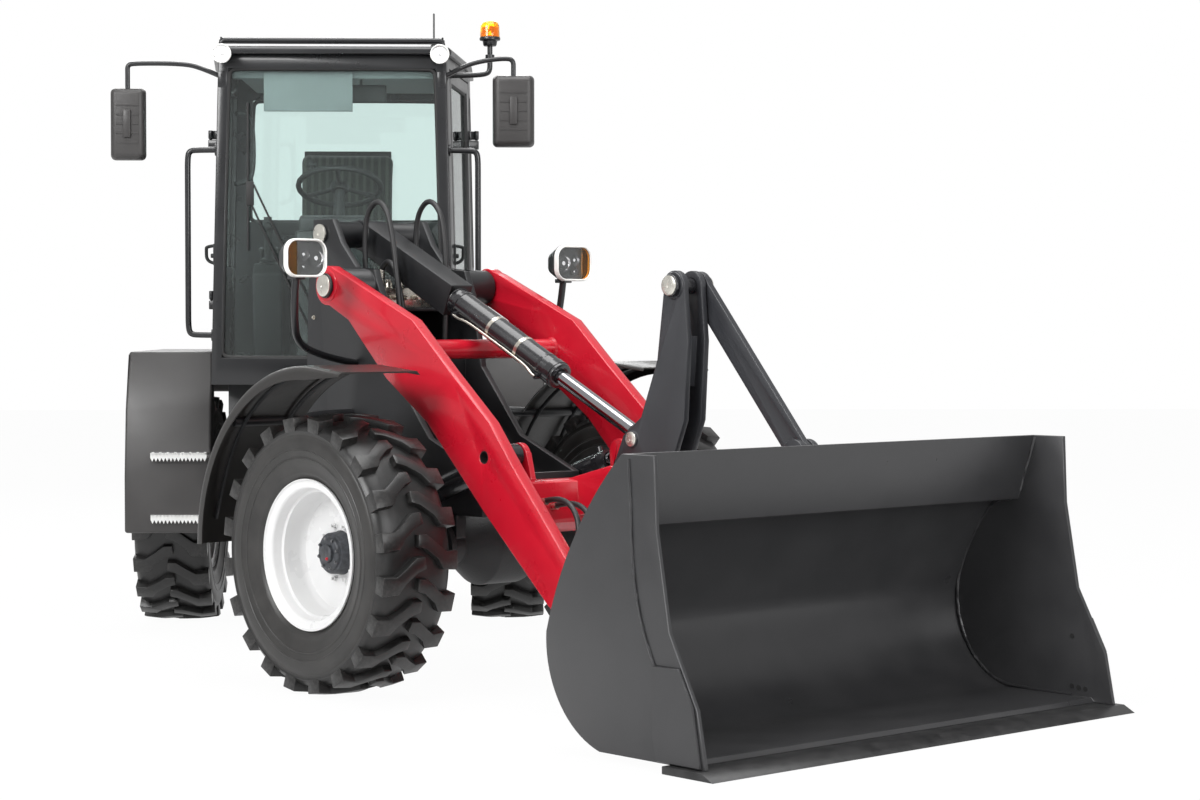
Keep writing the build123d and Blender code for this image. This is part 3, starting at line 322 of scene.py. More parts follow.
# One finish: a colour with its cloudiness, worn edges, dust and fine relief.
def makeFinish(name, colour, rough=0.4, metal=0.0, coat=0.0, cloud=0.12, edge=0.0, edgeColour=(0.3, 0.3, 0.3),
               dust=0.0, dustColour=(0.2, 0.18, 0.15), grain=0.1, grainScale=400, pebble=0.3, cloudScale=6.0,
               specular=0.5, roughSpread=0.12):
    material = bpy.data.materials.new(name)
    material.use_nodes = True
    tree = material.node_tree
    shader = tree.nodes["Principled BSDF"]
    wear = useGroup(tree, wearGroup, Edge=edge, Dust=dust, Scale=cloudScale)
    darker = tuple(c * (1 - cloud) for c in colour)
    lighter = tuple(min(1, c * (1 + cloud)) for c in colour)
    base = addMix(tree, addRange(tree, wear.outputs["Cloud"], 0.3, 0.7), darker, lighter)
    if edge:
        base = addMix(tree, wear.outputs["EdgeMask"], base, edgeColour)
    if dust:
        base = addMix(tree, wear.outputs["DustMask"], base, dustColour)
    tree.links.new(base, shader.inputs["Base Color"])
    tree.links.new(addRange(tree, wear.outputs["Cloud"], 0.25, 0.75, rough - roughSpread / 2, rough + roughSpread / 2),
                   shader.inputs["Roughness"])
    shader.inputs["Metallic"].default_value = metal
    shader.inputs["Coat Weight"].default_value = coat
    shader.inputs["Specular IOR Level"].default_value = specular
    if grain:
        relief = useGroup(tree, grainGroup, Scale=grainScale, Pebble=pebble)
        bump = tree.nodes.new("ShaderNodeBump")
        bump.inputs["Strength"].default_value = grain
        bump.inputs["Distance"].default_value = 0.001
        tree.links.new(relief.outputs["Height"], bump.inputs["Height"])
        tree.links.new(bump.outputs["Normal"], shader.inputs["Normal"])
    return material


# Clear or tinted glass; light passes it unbent, so what is behind stays lit.
def makeGlass(name, colour, rough=0.0, shade=0.8):
    material = bpy.data.materials.new(name)
    material.use_nodes = True
    tree = material.node_tree
    shader = tree.nodes["Principled BSDF"]
    shader.inputs["Base Color"].default_value = (*colour, 1)
    shader.inputs["Roughness"].default_value = rough
    shader.inputs["Transmission Weight"].default_value = 1.0
    shader.inputs["IOR"].default_value = 1.45
    clear = tree.nodes.new("ShaderNodeBsdfTransparent")
    clear.inputs["Color"].default_value = (shade, shade, shade, 1)
    rays = tree.nodes.new("ShaderNodeLightPath")
    mix = tree.nodes.new("ShaderNodeMixShader")
    tree.links.new(rays.outputs["Is Shadow Ray"], mix.inputs[0])
    tree.links.new(shader.outputs[0], mix.inputs[1])
    tree.links.new(clear.outputs[0], mix.inputs[2])
    tree.links.new(mix.outputs[0], tree.nodes["Material Output"].inputs["Surface"])
    return material


def makeCloth(name, colour, stripeColour):
    material = bpy.data.materials.new(name)
    material.use_nodes = True
    tree = material.node_tree
    shader = tree.nodes["Principled BSDF"]
    weave = useGroup(tree, weaveGroup, Scale=700)
    tree.links.new(addMix(tree, weave.outputs["Stripe"], colour, stripeColour), shader.inputs["Base Color"])
    shader.inputs["Roughness"].default_value = 0.9
    shader.inputs["Sheen Weight"].default_value = 0.25
    bump = tree.nodes.new("ShaderNodeBump")
    bump.inputs["Strength"].default_value = 0.35
    bump.inputs["Distance"].default_value = 0.0008
    tree.links.new(weave.outputs["Height"], bump.inputs["Height"])
    tree.links.new(bump.outputs["Normal"], shader.inputs["Normal"])
    return material


looks = {
    "redPaint": ("red_paint", makeFinish(
        "redPaint", (0.50, 0.006, 0.020), rough=0.30, coat=0.3, cloud=0.05,
        dust=0.0, grain=0.08, grainScale=260)),
    "anthracite": ("anthracite_paint", makeFinish(
        "anthracite", (0.026, 0.027, 0.031), rough=0.40, cloud=0.10, dust=0.02, grain=0.12, grainScale=240)),
    "bucketPaint": ("anthracite_paint", makeFinish(
        "bucketPaint", (0.038, 0.038, 0.040), rough=0.33, metal=0.2, cloud=0.08, dust=0.02, grain=0.10,
        grainScale=200)),
    "chassisBlack": ("chassis_black", makeFinish(
        "chassisBlack", (0.011, 0.0115, 0.013), rough=0.42, cloud=0.2, dust=0.03, grain=0.14, grainScale=240)),
    "fenderPlastic": ("body_plastic", makeFinish(
        "fenderPlastic", (0.018, 0.0165, 0.0155), rough=0.34, cloud=0.10, dust=0.02, grain=0.20, grainScale=650,
        pebble=0.8)),
    "greyPlastic": ("body_plastic", makeFinish(
        "greyPlastic", (0.036, 0.034, 0.0335), rough=0.42, cloud=0.10, dust=0.02, grain=0.20, grainScale=650,
        pebble=0.8)),
    "cabPaint": ("cab_paint", makeFinish(
        "cabPaint", (0.008, 0.0085, 0.010), rough=0.30, coat=0.2, cloud=0.08, grain=0.06, grainScale=300)),
    "interior": ("interior_plastic", makeFinish(
        "interior", (0.014, 0.017, 0.017), rough=0.55, cloud=0.12, grain=0.3, grainScale=700, pebble=0.9)),
    "headliner": ("interior_plastic", makeFinish(
        "headliner", (0.16, 0.19, 0.19), rough=0.8, cloud=0.1, grain=0.3, grainScale=500)),
    "rubber": ("tyre_rubber", makeFinish(
        "rubber", (0.010, 0.0098, 0.0098), rough=0.36, cloud=0.25, edge=0.6, edgeColour=(0.10, 0.095, 0.09),
        dust=0.05, dustColour=(0.08, 0.07, 0.065), grain=0.22, grainScale=420, pebble=0.6, cloudScale=16)),
    "sidewall": ("tyre_rubber", makeFinish(
        "sidewall", (0.022, 0.021, 0.020), rough=0.42, cloud=0.35, edge=0.3, edgeColour=(0.10, 0.09, 0.085),
        dust=0.08, dustColour=(0.08, 0.07, 0.065), grain=0.25, grainScale=350, cloudScale=10)),
    "seal": ("tyre_rubber", makeFinish("seal", (0.012, 0.012, 0.012), rough=0.6, grain=0.1)),
    "rimWhite": ("rim_white", makeFinish(
        "rimWhite", (0.70, 0.70, 0.70), rough=0.30, coat=0.2, cloud=0.04, edge=0.2, edgeColour=(0.45, 0.45, 0.45),
        dust=0.10, dustColour=(0.4, 0.38, 0.35), grain=0.06, grainScale=260)),
    "hubGrey": ("hub_grey", makeFinish(
        "hubGrey", (0.035, 0.038, 0.044), rough=0.45, cloud=0.5, edge=0.5, dust=0.05, grain=0.5, grainScale=160,
        pebble=0.8, cloudScale=60)),
    "pinSteel": ("pin_steel", makeFinish(
        "pinSteel", (0.68, 0.66, 0.60), rough=0.30, metal=0.9, cloud=0.12, grain=0.1, cloudScale=30)),
    "chrome": ("rod_chrome", makeFinish(
        "chrome", (0.36, 0.36, 0.38), rough=0.12, metal=1.0, cloud=0.03, grain=0.0, roughSpread=0.04)),
    "cylinderBlack": ("cylinder_black", makeFinish(
        "cylinderBlack", (0.014, 0.014, 0.016), rough=0.25, coat=0.5, cloud=0.1, grain=0.06)),
    "zinc": ("valve_steel", makeFinish(
        "zinc", (0.66, 0.62, 0.55), rough=0.28, metal=1.0, cloud=0.2, grain=0.1, cloudScale=40)),
    "seatCloth": ("seat_fabric", makeCloth("seatCloth", (0.018, 0.022, 0.020), (0.055, 0.066, 0.052))),
    "hose": ("hose_rubber", makeFinish(
        "hose", (0.016, 0.016, 0.017), rough=0.48, cloud=0.15, grain=0.2, grainScale=600)),
    "castIron": ("cast_grey", makeFinish(
        "castIron", (0.018, 0.0185, 0.020), rough=0.5, cloud=0.2, dust=0.05, grain=0.7, grainScale=140,
        pebble=0.7)),
    "edgeSteel": ("edge_steel", makeFinish(
        "edgeSteel", (0.030, 0.030, 0.031), rough=0.38, metal=0.4, cloud=0.3, dust=0.03, grain=0.25, grainScale=180,
        cloudScale=20)),
    "stepMetal": ("pin_steel", makeFinish(
        "stepMetal", (0.72, 0.72, 0.71), rough=0.4, metal=0.3, cloud=0.1, grain=0.2)),
    "reflector": ("lamp_lens", makeFinish(
        "reflector", (0.85, 0.85, 0.86), rough=0.10, metal=1.0, cloud=0.03, grain=0.0, roughSpread=0.04)),
    "lampWhite": ("lamp_lens", makeFinish("lampWhite", (0.85, 0.85, 0.82), rough=0.3, cloud=0.03, grain=0.0)),
    "glass": ("tinted_glass", makeGlass("glass", (0.80, 0.90, 0.88))),
    "clearLens": ("lamp_lens", makeGlass("clearLens", (0.97, 0.97, 0.97), shade=0.95)),
    "amberLens": ("lamp_lens", makeGlass("amberLens", (0.95, 0.42, 0.04), rough=0.05)),
    "redLens": ("lamp_lens", makeGlass("redLens", (0.75, 0.02, 0.02), rough=0.05)),
}
print("materials ready:", len(looks))

tyre = {
    "lugsEachSide": 20, "tread": 0.5205, "carcass": 0.4945, "shoulderDrop": 0.011, "halfWidth": 0.1672,
    "shoulder": 0.16, "lugFoot": 0.458, "sidewallRadius": 0.451, "sidewallFrom": 0.12, "steps": 120,
}
# (radius, distance from the middle) of the outside of one half of the casing
casing = [
    (0.4950, 0.0), (0.4942, 0.060), (0.4910, 0.105), (0.4820, 0.140), (0.4700, 0.156), (0.4580, 0.1625),
    (0.4520, 0.1600), (0.4440, 0.1600), (0.4400, 0.1630), (0.4200, 0.1655), (0.3950, 0.1652), (0.3930, 0.1668),
    (0.3890, 0.1668), (0.3870, 0.1645), (0.3650, 0.1605), (0.3630, 0.1622), (0.3590, 0.1622), (0.3570, 0.1590),
    (0.3350, 0.1520), (0.3150, 0.1440), (0.3080, 0.1440), (0.3020, 0.1425), (0.2960, 0.1370), (0.2900, 0.1330),
    (0.2860, 0.1305), (0.2840, 0.1285), (0.2560, 0.1270), (0.2545, 0.1200),
]
# corners of one lug, as (distance across from the middle, distance along the tread)
lugPlan = [
    (0.1672, -0.038), (0.1672, 0.036), (0.112, 0.034), (0.078, 0.060), (0.026, 0.104), (-0.012, 0.106),
    (-0.016, 0.060), (0.020, 0.046), (0.072, 0.004), (0.096, -0.036),
]


def treadHeight(across):
    return tyre["tread"] - tyre["shoulderDrop"] * min(1, abs(across) / tyre["halfWidth"]) ** 2.5


def addLug(bm, side, turn, centre):
    before = set(bm.verts)
    root = tyre["carcass"] - 0.012
    face = bm.faces.new([bm.verts.new((along, side * across, root)) for across, along in lugPlan])
    grown = bmesh.ops.extrude_face_region(bm, geom=[face])
    top = [g for g in grown["geom"] if isinstance(g, bmesh.types.BMVert)]
    middle = sum((v.co for v in top), Vector()) / len(top)
    for v in top:
        v.co.z = treadHeight(v.co.y)
        if abs(v.co.y) < tyre["shoulder"]:
            v.co.x += (middle.x - v.co.x) * 0.07
    fresh = newOnes(bm, before)
    for v in fresh:
        if v not in top and abs(v.co.y) > tyre["shoulder"]:
            v.co.z = tyre["lugFoot"]
            v.co.y *= 0.975
    # cuts across the lug beside its knee and at the tyre's middle, that let it follow the tread's curve
    for across in (0.050, 0.0):
        bmesh.ops.bisect_plane(bm, geom=list({g for v in fresh for g in (v, *v.link_edges, *v.link_faces)}),
                               plane_co=(0, side * across, 0), plane_no=(0, 1, 0))
        fresh = newOnes(bm, before)
    edges = {e for v in fresh for e in v.link_edges
             if len(e.link_faces) == 2 and e.calc_face_angle(0) > math.radians(35)}
    bmesh.ops.bevel(bm, geom=list(edges), offset=0.0032, segments=2, affect="EDGES", profile=0.5, material=-1,
                    clamp_overlap=True)
    for v in newOnes(bm, before):
        spin = turn - v.co.x / tyre["tread"]
        v.co = Vector((math.sin(spin) * v.co.z, v.co.y, math.cos(spin) * v.co.z)) + Vector(centre)


def makeTyre(place, wheelX, wheelY, half):
    centre = (wheelX, wheelY, axleZ)
    bm = bmesh.new()
    profile = casing[::-1] + [(r, -d) for r, d in casing[1:]]
    addTurned(bm, profile, centre, "y", tyre["steps"], closed=True)
    pitch = 2 * math.pi / tyre["lugsEachSide"]
    for lug in range(tyre["lugsEachSide"]):
        addLug(bm, 1, pitch * lug, centre)
        addLug(bm, -1, pitch * (lug + 0.5), centre)
    piece = finishPiece(bm, "tyre_" + place + "_tread", "wheel_" + place, "rubber", half, smooth=32,
                        instead=("tyre_" + place,))
    piece.data.materials.append(looks["sidewall"][1])
    middle = half @ Vector(centre)
    axis = (half.to_3x3() @ Vector((0, 1, 0))).normalized()
    for face in piece.data.polygons:
        spot = Vector(face.center) - middle
        across = spot.dot(axis)
        radius = (spot - axis * across).length
        if radius < tyre["sidewallRadius"] and abs(across) > tyre["sidewallFrom"]:
            face.material_index = 1
    return piece


# (radius, distance outwards from the wheel's middle) of the rim's pressed section
rimFace = [
    (0.2815, 0.1310), (0.2820, 0.1385), (0.2805, 0.1400), (0.2780, 0.1392), (0.2760, 0.1340), (0.2700, 0.1300),
    (0.2580, 0.1290), (0.2520, 0.1275), (0.2470, 0.1230), (0.2440, 0.1150), (0.2425, 0.0880), (0.2400, 0.0840),
    (0.2340, 0.0830), (0.2300, 0.0800), (0.2265, 0.0450), (0.2240, 0.0180), (0.2200, 0.0050), (0.2100, -0.0060),
    (0.1900, -0.0080), (0.1850, -0.0105), (0.1300, -0.0150), (0.1200, -0.0160), (0.0830, -0.0160),
    (0.0830, -0.0300), (0.1900, -0.0250), (0.2180, -0.0240), (0.2250, -0.0300), (0.2260, -0.0800),
    (0.2420, -0.0860), (0.2440, -0.1150), (0.2500, -0.1270), (0.2700, -0.1300), (0.2770, -0.1370),
    (0.2800, -0.1400), (0.2820, -0.1390), (0.2815, -0.1300), (0.2620, -0.1270), (0.2530, -0.1210),
    (0.2505, -0.0830), (0.2345, -0.0650), (0.2345, 0.0450), (0.2505, 0.0800), (0.2535, 0.1210), (0.2620, 0.1270),
]
hubFace = [
    (0.0, 0.0565), (0.0300, 0.0565), (0.0335, 0.0540), (0.0360, 0.0440), (0.0580, 0.0430), (0.0620, 0.0400),
    (0.0640, 0.0330), (0.0740, 0.0320), (0.0770, 0.0280), (0.0800, -0.0140), (0.0818, -0.0160), (0.0818, -0.0290),
    (0.1110, -0.0310), (0.1110, -0.0980), (0.0, -0.0990),
]
wheelNuts = {"count": 10, "circle": 0.1040, "size": 0.016, "capBolts": 8, "capCircle": 0.0560}


def makeWheelMetal(place, wheelX, wheelY, side, half):
    centre = Vector((wheelX, wheelY, axleZ))
    bm = bmesh.new()
    addTurned(bm, [(r, side * d) for r, d in rimFace], centre, "y", 96, closed=True)
    # valve stem
    addBar(bm, centre + Vector((0.150, side * -0.012, 0.110)), centre + Vector((0.150, side * 0.030, 0.110)),
           0.005, steps=12)
    finishPiece(bm, "rim_" + place + "_pressing", "wheel_" + place, "rimWhite", half, smooth=42,
                instead=("rim_" + place,))
    bm = bmesh.new()
    for nut in range(wheelNuts["count"]):
        angle = 2 * math.pi * nut / wheelNuts["count"]
        spot = centre + Vector((math.cos(angle), 0, math.sin(angle))) * wheelNuts["circle"]
        addHexHead(bm, spot + Vector((0, side * -0.0165, 0)), (0, side, 0), wheelNuts["size"])
        addBar(bm, spot, spot + Vector((0, side * 0.008, 0)), 0.006, steps=10)
    finishPiece(bm, "wheelnuts_" + place, "wheel_" + place, "rimWhite", half)
    bm = bmesh.new()
    addTurned(bm, [(r, side * d) for r, d in hubFace], centre, "y", 64)
    for bolt in range(wheelNuts["capBolts"]):
        angle = 2 * math.pi * (bolt + 0.3) / wheelNuts["capBolts"]
        spot = centre + Vector((math.cos(angle), 0, math.sin(angle))) * wheelNuts["capCircle"]
        addHexHead(bm, spot + Vector((0, side * 0.0425, 0)), (0, side, 0), 0.010, 0.007)
    finishPiece(bm, "hub_" + place + "_casting", "wheel_" + place, "hubGrey", half, instead=("hub_" + place,))
    # filler plug
    bm = bmesh.new()
    spot = centre + Vector((0.012, side * 0.0560, -0.018))
    addHexHead(bm, spot, (0, side, 0), 0.008, 0.006)
    finishPiece(bm, "plug_" + place, "wheel_" + place, "redPaint", half)


for place, wheelX, side, half in (
        ("front_right", machine["halfWheelbase"], -1, frontHalf),
        ("front_left", machine["halfWheelbase"], 1, frontHalf),
        ("rear_right", -machine["halfWheelbase"], -1, rearHalf),
        ("rear_left", -machine["halfWheelbase"], 1, rearHalf)):
    makeTyre(place, wheelX, side * machine["track"] / 2, half)
    makeWheelMetal(place, wheelX, side * machine["track"] / 2, side, half)
print("wheels done")

pins = {"boom": (0.590, 1.525), "bucket": (2.400, 0.190), "crank": (1.892, 0.782), "linkTop": (2.180, 1.512),
        "linkLow": (2.688, 0.920), "tiltBase": (0.300, 1.740), "tiltEye": (1.963, 0.954),
        "liftBase": (0.380, 0.480), "liftEye": (1.560, 0.885)}
arm = {"inner": 0.380, "outer": 0.430}


def onPin(name, across):
    return Vector((pins[name][0], across, pins[name][1]))


# A turned pin end: a chamfered disc with a centre mark.
def addPinEnd(bm, spot, side, radius, proud=0.010):
    profile = [(0.0, proud * 0.8), (radius * 0.16, proud * 0.8), (radius * 0.2, proud), (radius * 0.9, proud),
               (radius, proud * 0.7), (radius, -0.002), (0.0, -0.002)]
    addTurned(bm, [(r, side * d) for r, d in profile], Vector(spot), "y", 40)


roundedNode("boom", "boom", "redPaint", width=0.0035, segments=2)
bm = bmesh.new()
for side in (-1, 1):
    # boss rings at the arm's two ends and the stiffening plate around the slot
    for pin, radius in (("boom", 0.066), ("bucket", 0.070)):
        ring = [(0.040, 0.0), (0.040, 0.004), (radius - 0.003, 0.004), (radius, 0.001), (radius, 0.0)]
        addTurned(bm, [(r, side * d) for r, d in ring], onPin(pin, side * arm["outer"]), "y", 48, closed=True)
    addWeld(bm, [(x, side * (arm["inner"] - 0.002), z) for x, z in
                 ((1.52, 0.772), (1.58, 0.786), (1.64, 0.802), (1.70, 0.792))], 0.006)
    ring = [(0.0385, 0.0), (0.046, 0.0), (0.0385, 0.008)]
    addTurned(bm, [(r, side * (arm["inner"] - d)) for r, d in ring], (1.000, 0, 1.275), "y", 32, closed=True)
finishPiece(bm, "boom_bosses", "boom", "redPaint", frontHalf)

# painted shade: a black tube over the wall of the oblong hole through each arm, where the hole lies in shadow
bm = bmesh.new()
for side in (-1, 1):
    addTurned(bm, [(0.0238, side * 0.382), (0.0238, side * 0.4285), (0.0212, side * 0.4285), (0.0212, side * 0.382)],
              (1.563, 0, 0.884), "y", 32, closed=True)
finishPiece(bm, "arm_hole_painted_shade", "boom", "seal", frontHalf)

# turned ends of the boom's and the bucket's pins
bm = bmesh.new()
for side in (-1, 1):
    addPinEnd(bm, onPin("boom", side * 0.4455), side, 0.043, 0.008)
finishPiece(bm, "boom_pin_ends", "front_half", "pinSteel", frontHalf)
bm = bmesh.new()
for side in (-1, 1):
    addPinEnd(bm, onPin("bucket", side * 0.483), side, 0.044, 0.008)
finishPiece(bm, "bucket_pin_ends", "boom", "pinSteel", frontHalf)
for node in ("bucket_pins", "bellcrank_pin"):
    paintNode(node, "pinSteel")

# bellcrank: two plates with rounded edges and bosses
roundedNode("bellcrank", "bellcrank", "anthracite", width=0.003, segments=2)
roundedNode("tilt_link", "tilt_link", "anthracite", width=0.003, segments=2)
bm = bmesh.new()
for side in (-1, 1):
    for pin, radius in (("linkTop", 0.050), ("crank", 0.058)):
        ring = [(0.034, 0.0), (0.034, 0.005), (radius - 0.003, 0.005), (radius, 0.001), (radius, 0.0)]
        if pin == "linkTop" and side > 0:
            continue
        addTurned(bm, [(r, side * (0.055 + d)) for r, d in ring], onPin(pin, 0), "y", 40, closed=True)
finishPiece(bm, "crank_bosses", "bellcrank", "anthracite", frontHalf)
roundedNode("link_pin", "bellcrank", "cylinderBlack", width=0.003)
bm = bmesh.new()
addPinEnd(bm, onPin("linkTop", -0.077), -1, 0.036, 0.007)
addPinEnd(bm, onPin("linkTop", 0.1055), 1, 0.036, 0.007)
finishPiece(bm, "link_pin_ends", "bellcrank", "pinSteel", frontHalf)
bm = bmesh.new()
addPinEnd(bm, onPin("tiltEye", -0.063), -1, 0.027, 0.005)
for turn in range(4):
    angle = math.radians(45 + 90 * turn)
    addBar(bm, onPin("tiltEye", -0.066) + Vector((math.cos(angle), 0, math.sin(angle))) * 0.014,
           onPin("tiltEye", -0.0695) + Vector((math.cos(angle), 0, math.sin(angle))) * 0.014, 0.003, steps=8)
finishPiece(bm, "rod_pin_end", "bellcrank", "pinSteel", frontHalf)


# The line of a cylinder: its foot, the way to its eye, and the way that rises from it.
def alongPins(foot, eye, across=0.0):
    start, end = onPin(foot, across), onPin(eye, across)
    run = (end - start).normalized()
    rise = Vector((-run.z, 0, run.x))
    return start, run, rise


def turnedAlong(bm, start, run, profile, steps=40):
    fresh = addTurned(bm, profile, (0, 0, 0), "z", steps)
    place = Matrix.Translation(start) @ run.to_track_quat("Z", "Y").to_matrix().to_4x4()
    bmesh.ops.transform(bm, matrix=place, verts=fresh)


start, run, rise = alongPins("tiltBase", "tiltEye")
tiltForkEnd = 0.642
# fork and barrel: the CAD shape with its edges rounded, the fork in chassis paint
barrel = roundedNode("tilt_barrel", "tilt_barrel", "cylinderBlack", width=0.004, segments=3, name="tilt_cylinder_body")
barrel.data.materials.append(looks["chassisBlack"][1])
foot = frontHalf @ start
heading = (frontHalf.to_3x3() @ run).normalized()
for face in barrel.data.polygons:
    if (Vector(face.center) - foot).dot(heading) < tiltForkEnd:
        face.material_index = 1
bm = bmesh.new()
for low, high, proud in ((0.668, 0.690, 0.0035), (1.227, 1.243, 0.002), (1.277, 1.313, 0.003)):
    turnedAlong(bm, start, run, [(0.0518, low), (0.052 + proud, low + 0.002), (0.052 + proud, high - 0.002),
                                 (0.0518, high)])
# ports and the steel line between them, on the lower right flank
for at in (0.700, 1.250):
    spot = start + run * at + Vector((0, -0.030, 0)) - rise * 0.030
    addBar(bm, spot, spot + Vector((0, -0.030, 0)) - rise * 0.004, 0.014, 0.012, steps=20)
finishPiece(bm, "tilt_cylinder_rings", "tilt_barrel", "cylinderBlack", frontHalf)
bm = bmesh.new()
pipe = [start + run * s + Vector((0, y, 0)) + rise * r for s, y, r in (
    (0.700, -0.058, -0.034), (0.735, -0.062, -0.034), (0.780, -0.060, -0.022), (0.900, -0.058, -0.020),
    (1.105, -0.058, -0.020), (1.195, -0.060, -0.022), (1.235, -0.062, -0.034), (1.250, -0.060, -0.034))]
addTube(bm, pipe, 0.0055, steps=12)
for s in (0.900, 1.085):
    turnedAlong(bm, start, run, [(0.0522, s), (0.0535, s), (0.0535, s + 0.018), (0.0522, s + 0.018), (0.0522, s)])
finishPiece(bm, "tilt_cylinder_line", "tilt_barrel", "zinc", frontHalf)
# rod, wiper and eye
bm = bmesh.new()
turnedAlong(bm, start, run, [(0.0, 1.065), (0.0278, 1.065), (0.0278, 1.784), (0.0, 1.784)])
finishPiece(bm, "tilt_cylinder_rod", "tilt_rod", "chrome", frontHalf, instead=("tilt_rod",))
bm = bmesh.new()
eyeAt = onPin("tiltEye", 0)
addTurned(bm, [(0.028, -0.0248), (0.048, -0.0248), (0.050, -0.0225), (0.050, 0.0225), (0.048, 0.0248), (0.028, 0.0248)],
          eyeAt, "y", 40, closed=True)
turnedAlong(bm, start, run, [(0.0285, 1.782), (0.036, 1.784), (0.038, 1.795), (0.038, 1.810), (0.0285, 1.810)])
finishPiece(bm, "tilt_cylinder_eye", "tilt_rod", "cylinderBlack", frontHalf)
bm = bmesh.new()
for side in (-1, 1):
    addPinEnd(bm, onPin("tiltBase", side * 0.2565), side, 0.040, 0.007)
    addPinEnd(bm, onPin("liftBase", side * 0.3425), side, 0.033, 0.006)
finishPiece(bm, "cylinder_pin_ends", "front_half", "pinSteel", frontHalf)

# lift cylinders
for side, place in ((-1, "right"), (1, "left")):
    start, run, rise = alongPins("liftBase", "liftEye", side * 0.300)
    bm = bmesh.new()
    turnedAlong(bm, start, run, [
        (0.0, 0.040), (0.040, 0.042), (0.046, 0.050), (0.046, 1.060), (0.0445, 1.064), (0.0455, 1.070),
        (0.0455, 1.110), (0.043, 1.128), (0.031, 1.130), (0.0275, 1.126), (0.0272, 1.100), (0.0272, 0.090),
        (0.0, 0.090)])
    addTurned(bm, [(0.0282, side * 0.300 - 0.030), (0.043, side * 0.300 - 0.030), (0.045, side * 0.300 - 0.028),
                   (0.045, side * 0.300 + 0.028), (0.043, side * 0.300 + 0.030), (0.0282, side * 0.300 + 0.030)],
              onPin("liftBase", 0), "y", 40, closed=True)
    for at in (0.10, 1.085):
        spot = start + run * at + rise * 0.040
        addBar(bm, spot, spot + rise * 0.024, 0.013, 0.011, steps=16)
    finishPiece(bm, "lift_cylinder_" + place, "lift_barrels", "cylinderBlack", frontHalf,
                instead=("lift_barrels",) if side < 0 else ())
    bm = bmesh.new()
    turnedAlong(bm, start, run, [(0.0, 0.102), (0.0268, 0.102), (0.0268, 1.206), (0.0, 1.206)])
    finishPiece(bm, "lift_rod_" + place, "lift_rods", "chrome", frontHalf, instead=("lift_rods",) if side < 0 else ())
    bm = bmesh.new()
    middle = side * 0.300
    addTurned(bm, [(0.0262, middle - 0.030), (0.043, middle - 0.030), (0.045, middle - 0.028), (0.045, middle + 0.028),
                   (0.043, middle + 0.030), (0.0262, middle + 0.030)], onPin("liftEye", 0), "y", 40, closed=True)
    turnedAlong(bm, start, run, [(0.0275, 1.168), (0.034, 1.170), (0.036, 1.185), (0.036, 1.215), (0.0275, 1.215)])
    finishPiece(bm, "lift_eye_" + place, "lift_rods", "cylinderBlack", frontHalf)

# steering cylinders
for place in ("right", "left"):
    roundedNode("steer_barrel_" + place, "steer_barrel_" + place, "cylinderBlack", width=0.003)
    paintNode("steer_rod_" + place, "chrome")
paintNode("tilt_piston", "chrome")
print("boom and linkage done")

bucket = {"half": 1.015}
roundedNode("bucket", "bucket", "bucketPaint", width=0.0025, segments=2, smooth=30)
roundedNode("cutting_edge", "bucket", "edgeSteel", width=0.002, segments=2)
roundedNode("quick_coupler", "bucket", "anthracite", width=0.003)
# plough bolts along the edge
bm = bmesh.new()
boltCount = 13
for bolt in range(boltCount):
    across = -0.93 + 1.86 * bolt / (boltCount - 1)
    low = (3.196, across - 0.017, 0.024)
    head = addBlock(bm, low, (3.230, across + 0.017, 0.0365))
    roundEdges(bm, head, 0.003, 1)
finishPiece(bm, "edge_bolts", "bucket", "chassisBlack", frontHalf)
# weld seams where the sides meet the shell, and along the edge
bm = bmesh.new()
for side in (-1, 1):
    inside = side * (bucket["half"] - 0.016)
    addWeld(bm, [(2.975, inside, 0.965), (2.925, inside, 0.82), (2.898, inside, 0.735), (2.80, inside, 0.732),
                 (2.722, inside, 0.655), (2.640, inside, 0.50), (2.608, inside, 0.385), (2.632, inside, 0.240),
                 (2.700, inside, 0.130), (2.800, inside, 0.060), (2.900, inside, 0.044), (3.150, inside, 0.043)], 0.006)
    outside = side * (bucket["half"] + 0.0015)
    addWeld(bm, [(2.990, outside, 0.955), (3.000, outside, 0.80), (3.010, outside, 0.60), (3.055, outside, 0.42),
                 (3.150, outside, 0.25), (3.215, outside, 0.12)], 0.0045)
finishPiece(bm, "bucket_welds", "bucket", "bucketPaint", frontHalf)
# wear plates on the side's front edge, and black discs inside each side that paint the shade in the holes for their
# bolts
bm = bmesh.new()
for side in (-1, 1):
    low, high = sorted((side * bucket["half"], side * (bucket["half"] + 0.010)))
    plate = addPlate(bm, [(3.105, 0.325), (3.222, 0.325), (3.283, 0.212), (3.318, 0.030), (3.120, 0.030),
                          (3.105, 0.100)], low, high)
    roundEdges(bm, plate, 0.002, 1)
finishPiece(bm, "side_wear_plates", "bucket", "bucketPaint", frontHalf)
# black discs on the inside face of each side: painted shade in the bolt holes
bm = bmesh.new()
for side in (-1, 1):
    for x, z in ((3.150, 0.075), (3.180, 0.072), (3.210, 0.070), (3.150, 0.255)):
        addBar(bm, (x, side * (bucket["half"] - 0.0185), z), (x, side * (bucket["half"] - 0.0155), z), 0.009, steps=16)
finishPiece(bm, "side_hole_painted_shade", "bucket", "seal", frontHalf)
print("bucket done")

frontFender = {"radius": 0.700, "inner": 0.560, "outer": 0.930, "skin": 0.006, "lip": 0.045, "tip": 1.350,
               "tipZ": 1.200, "start": 88, "end": 180}


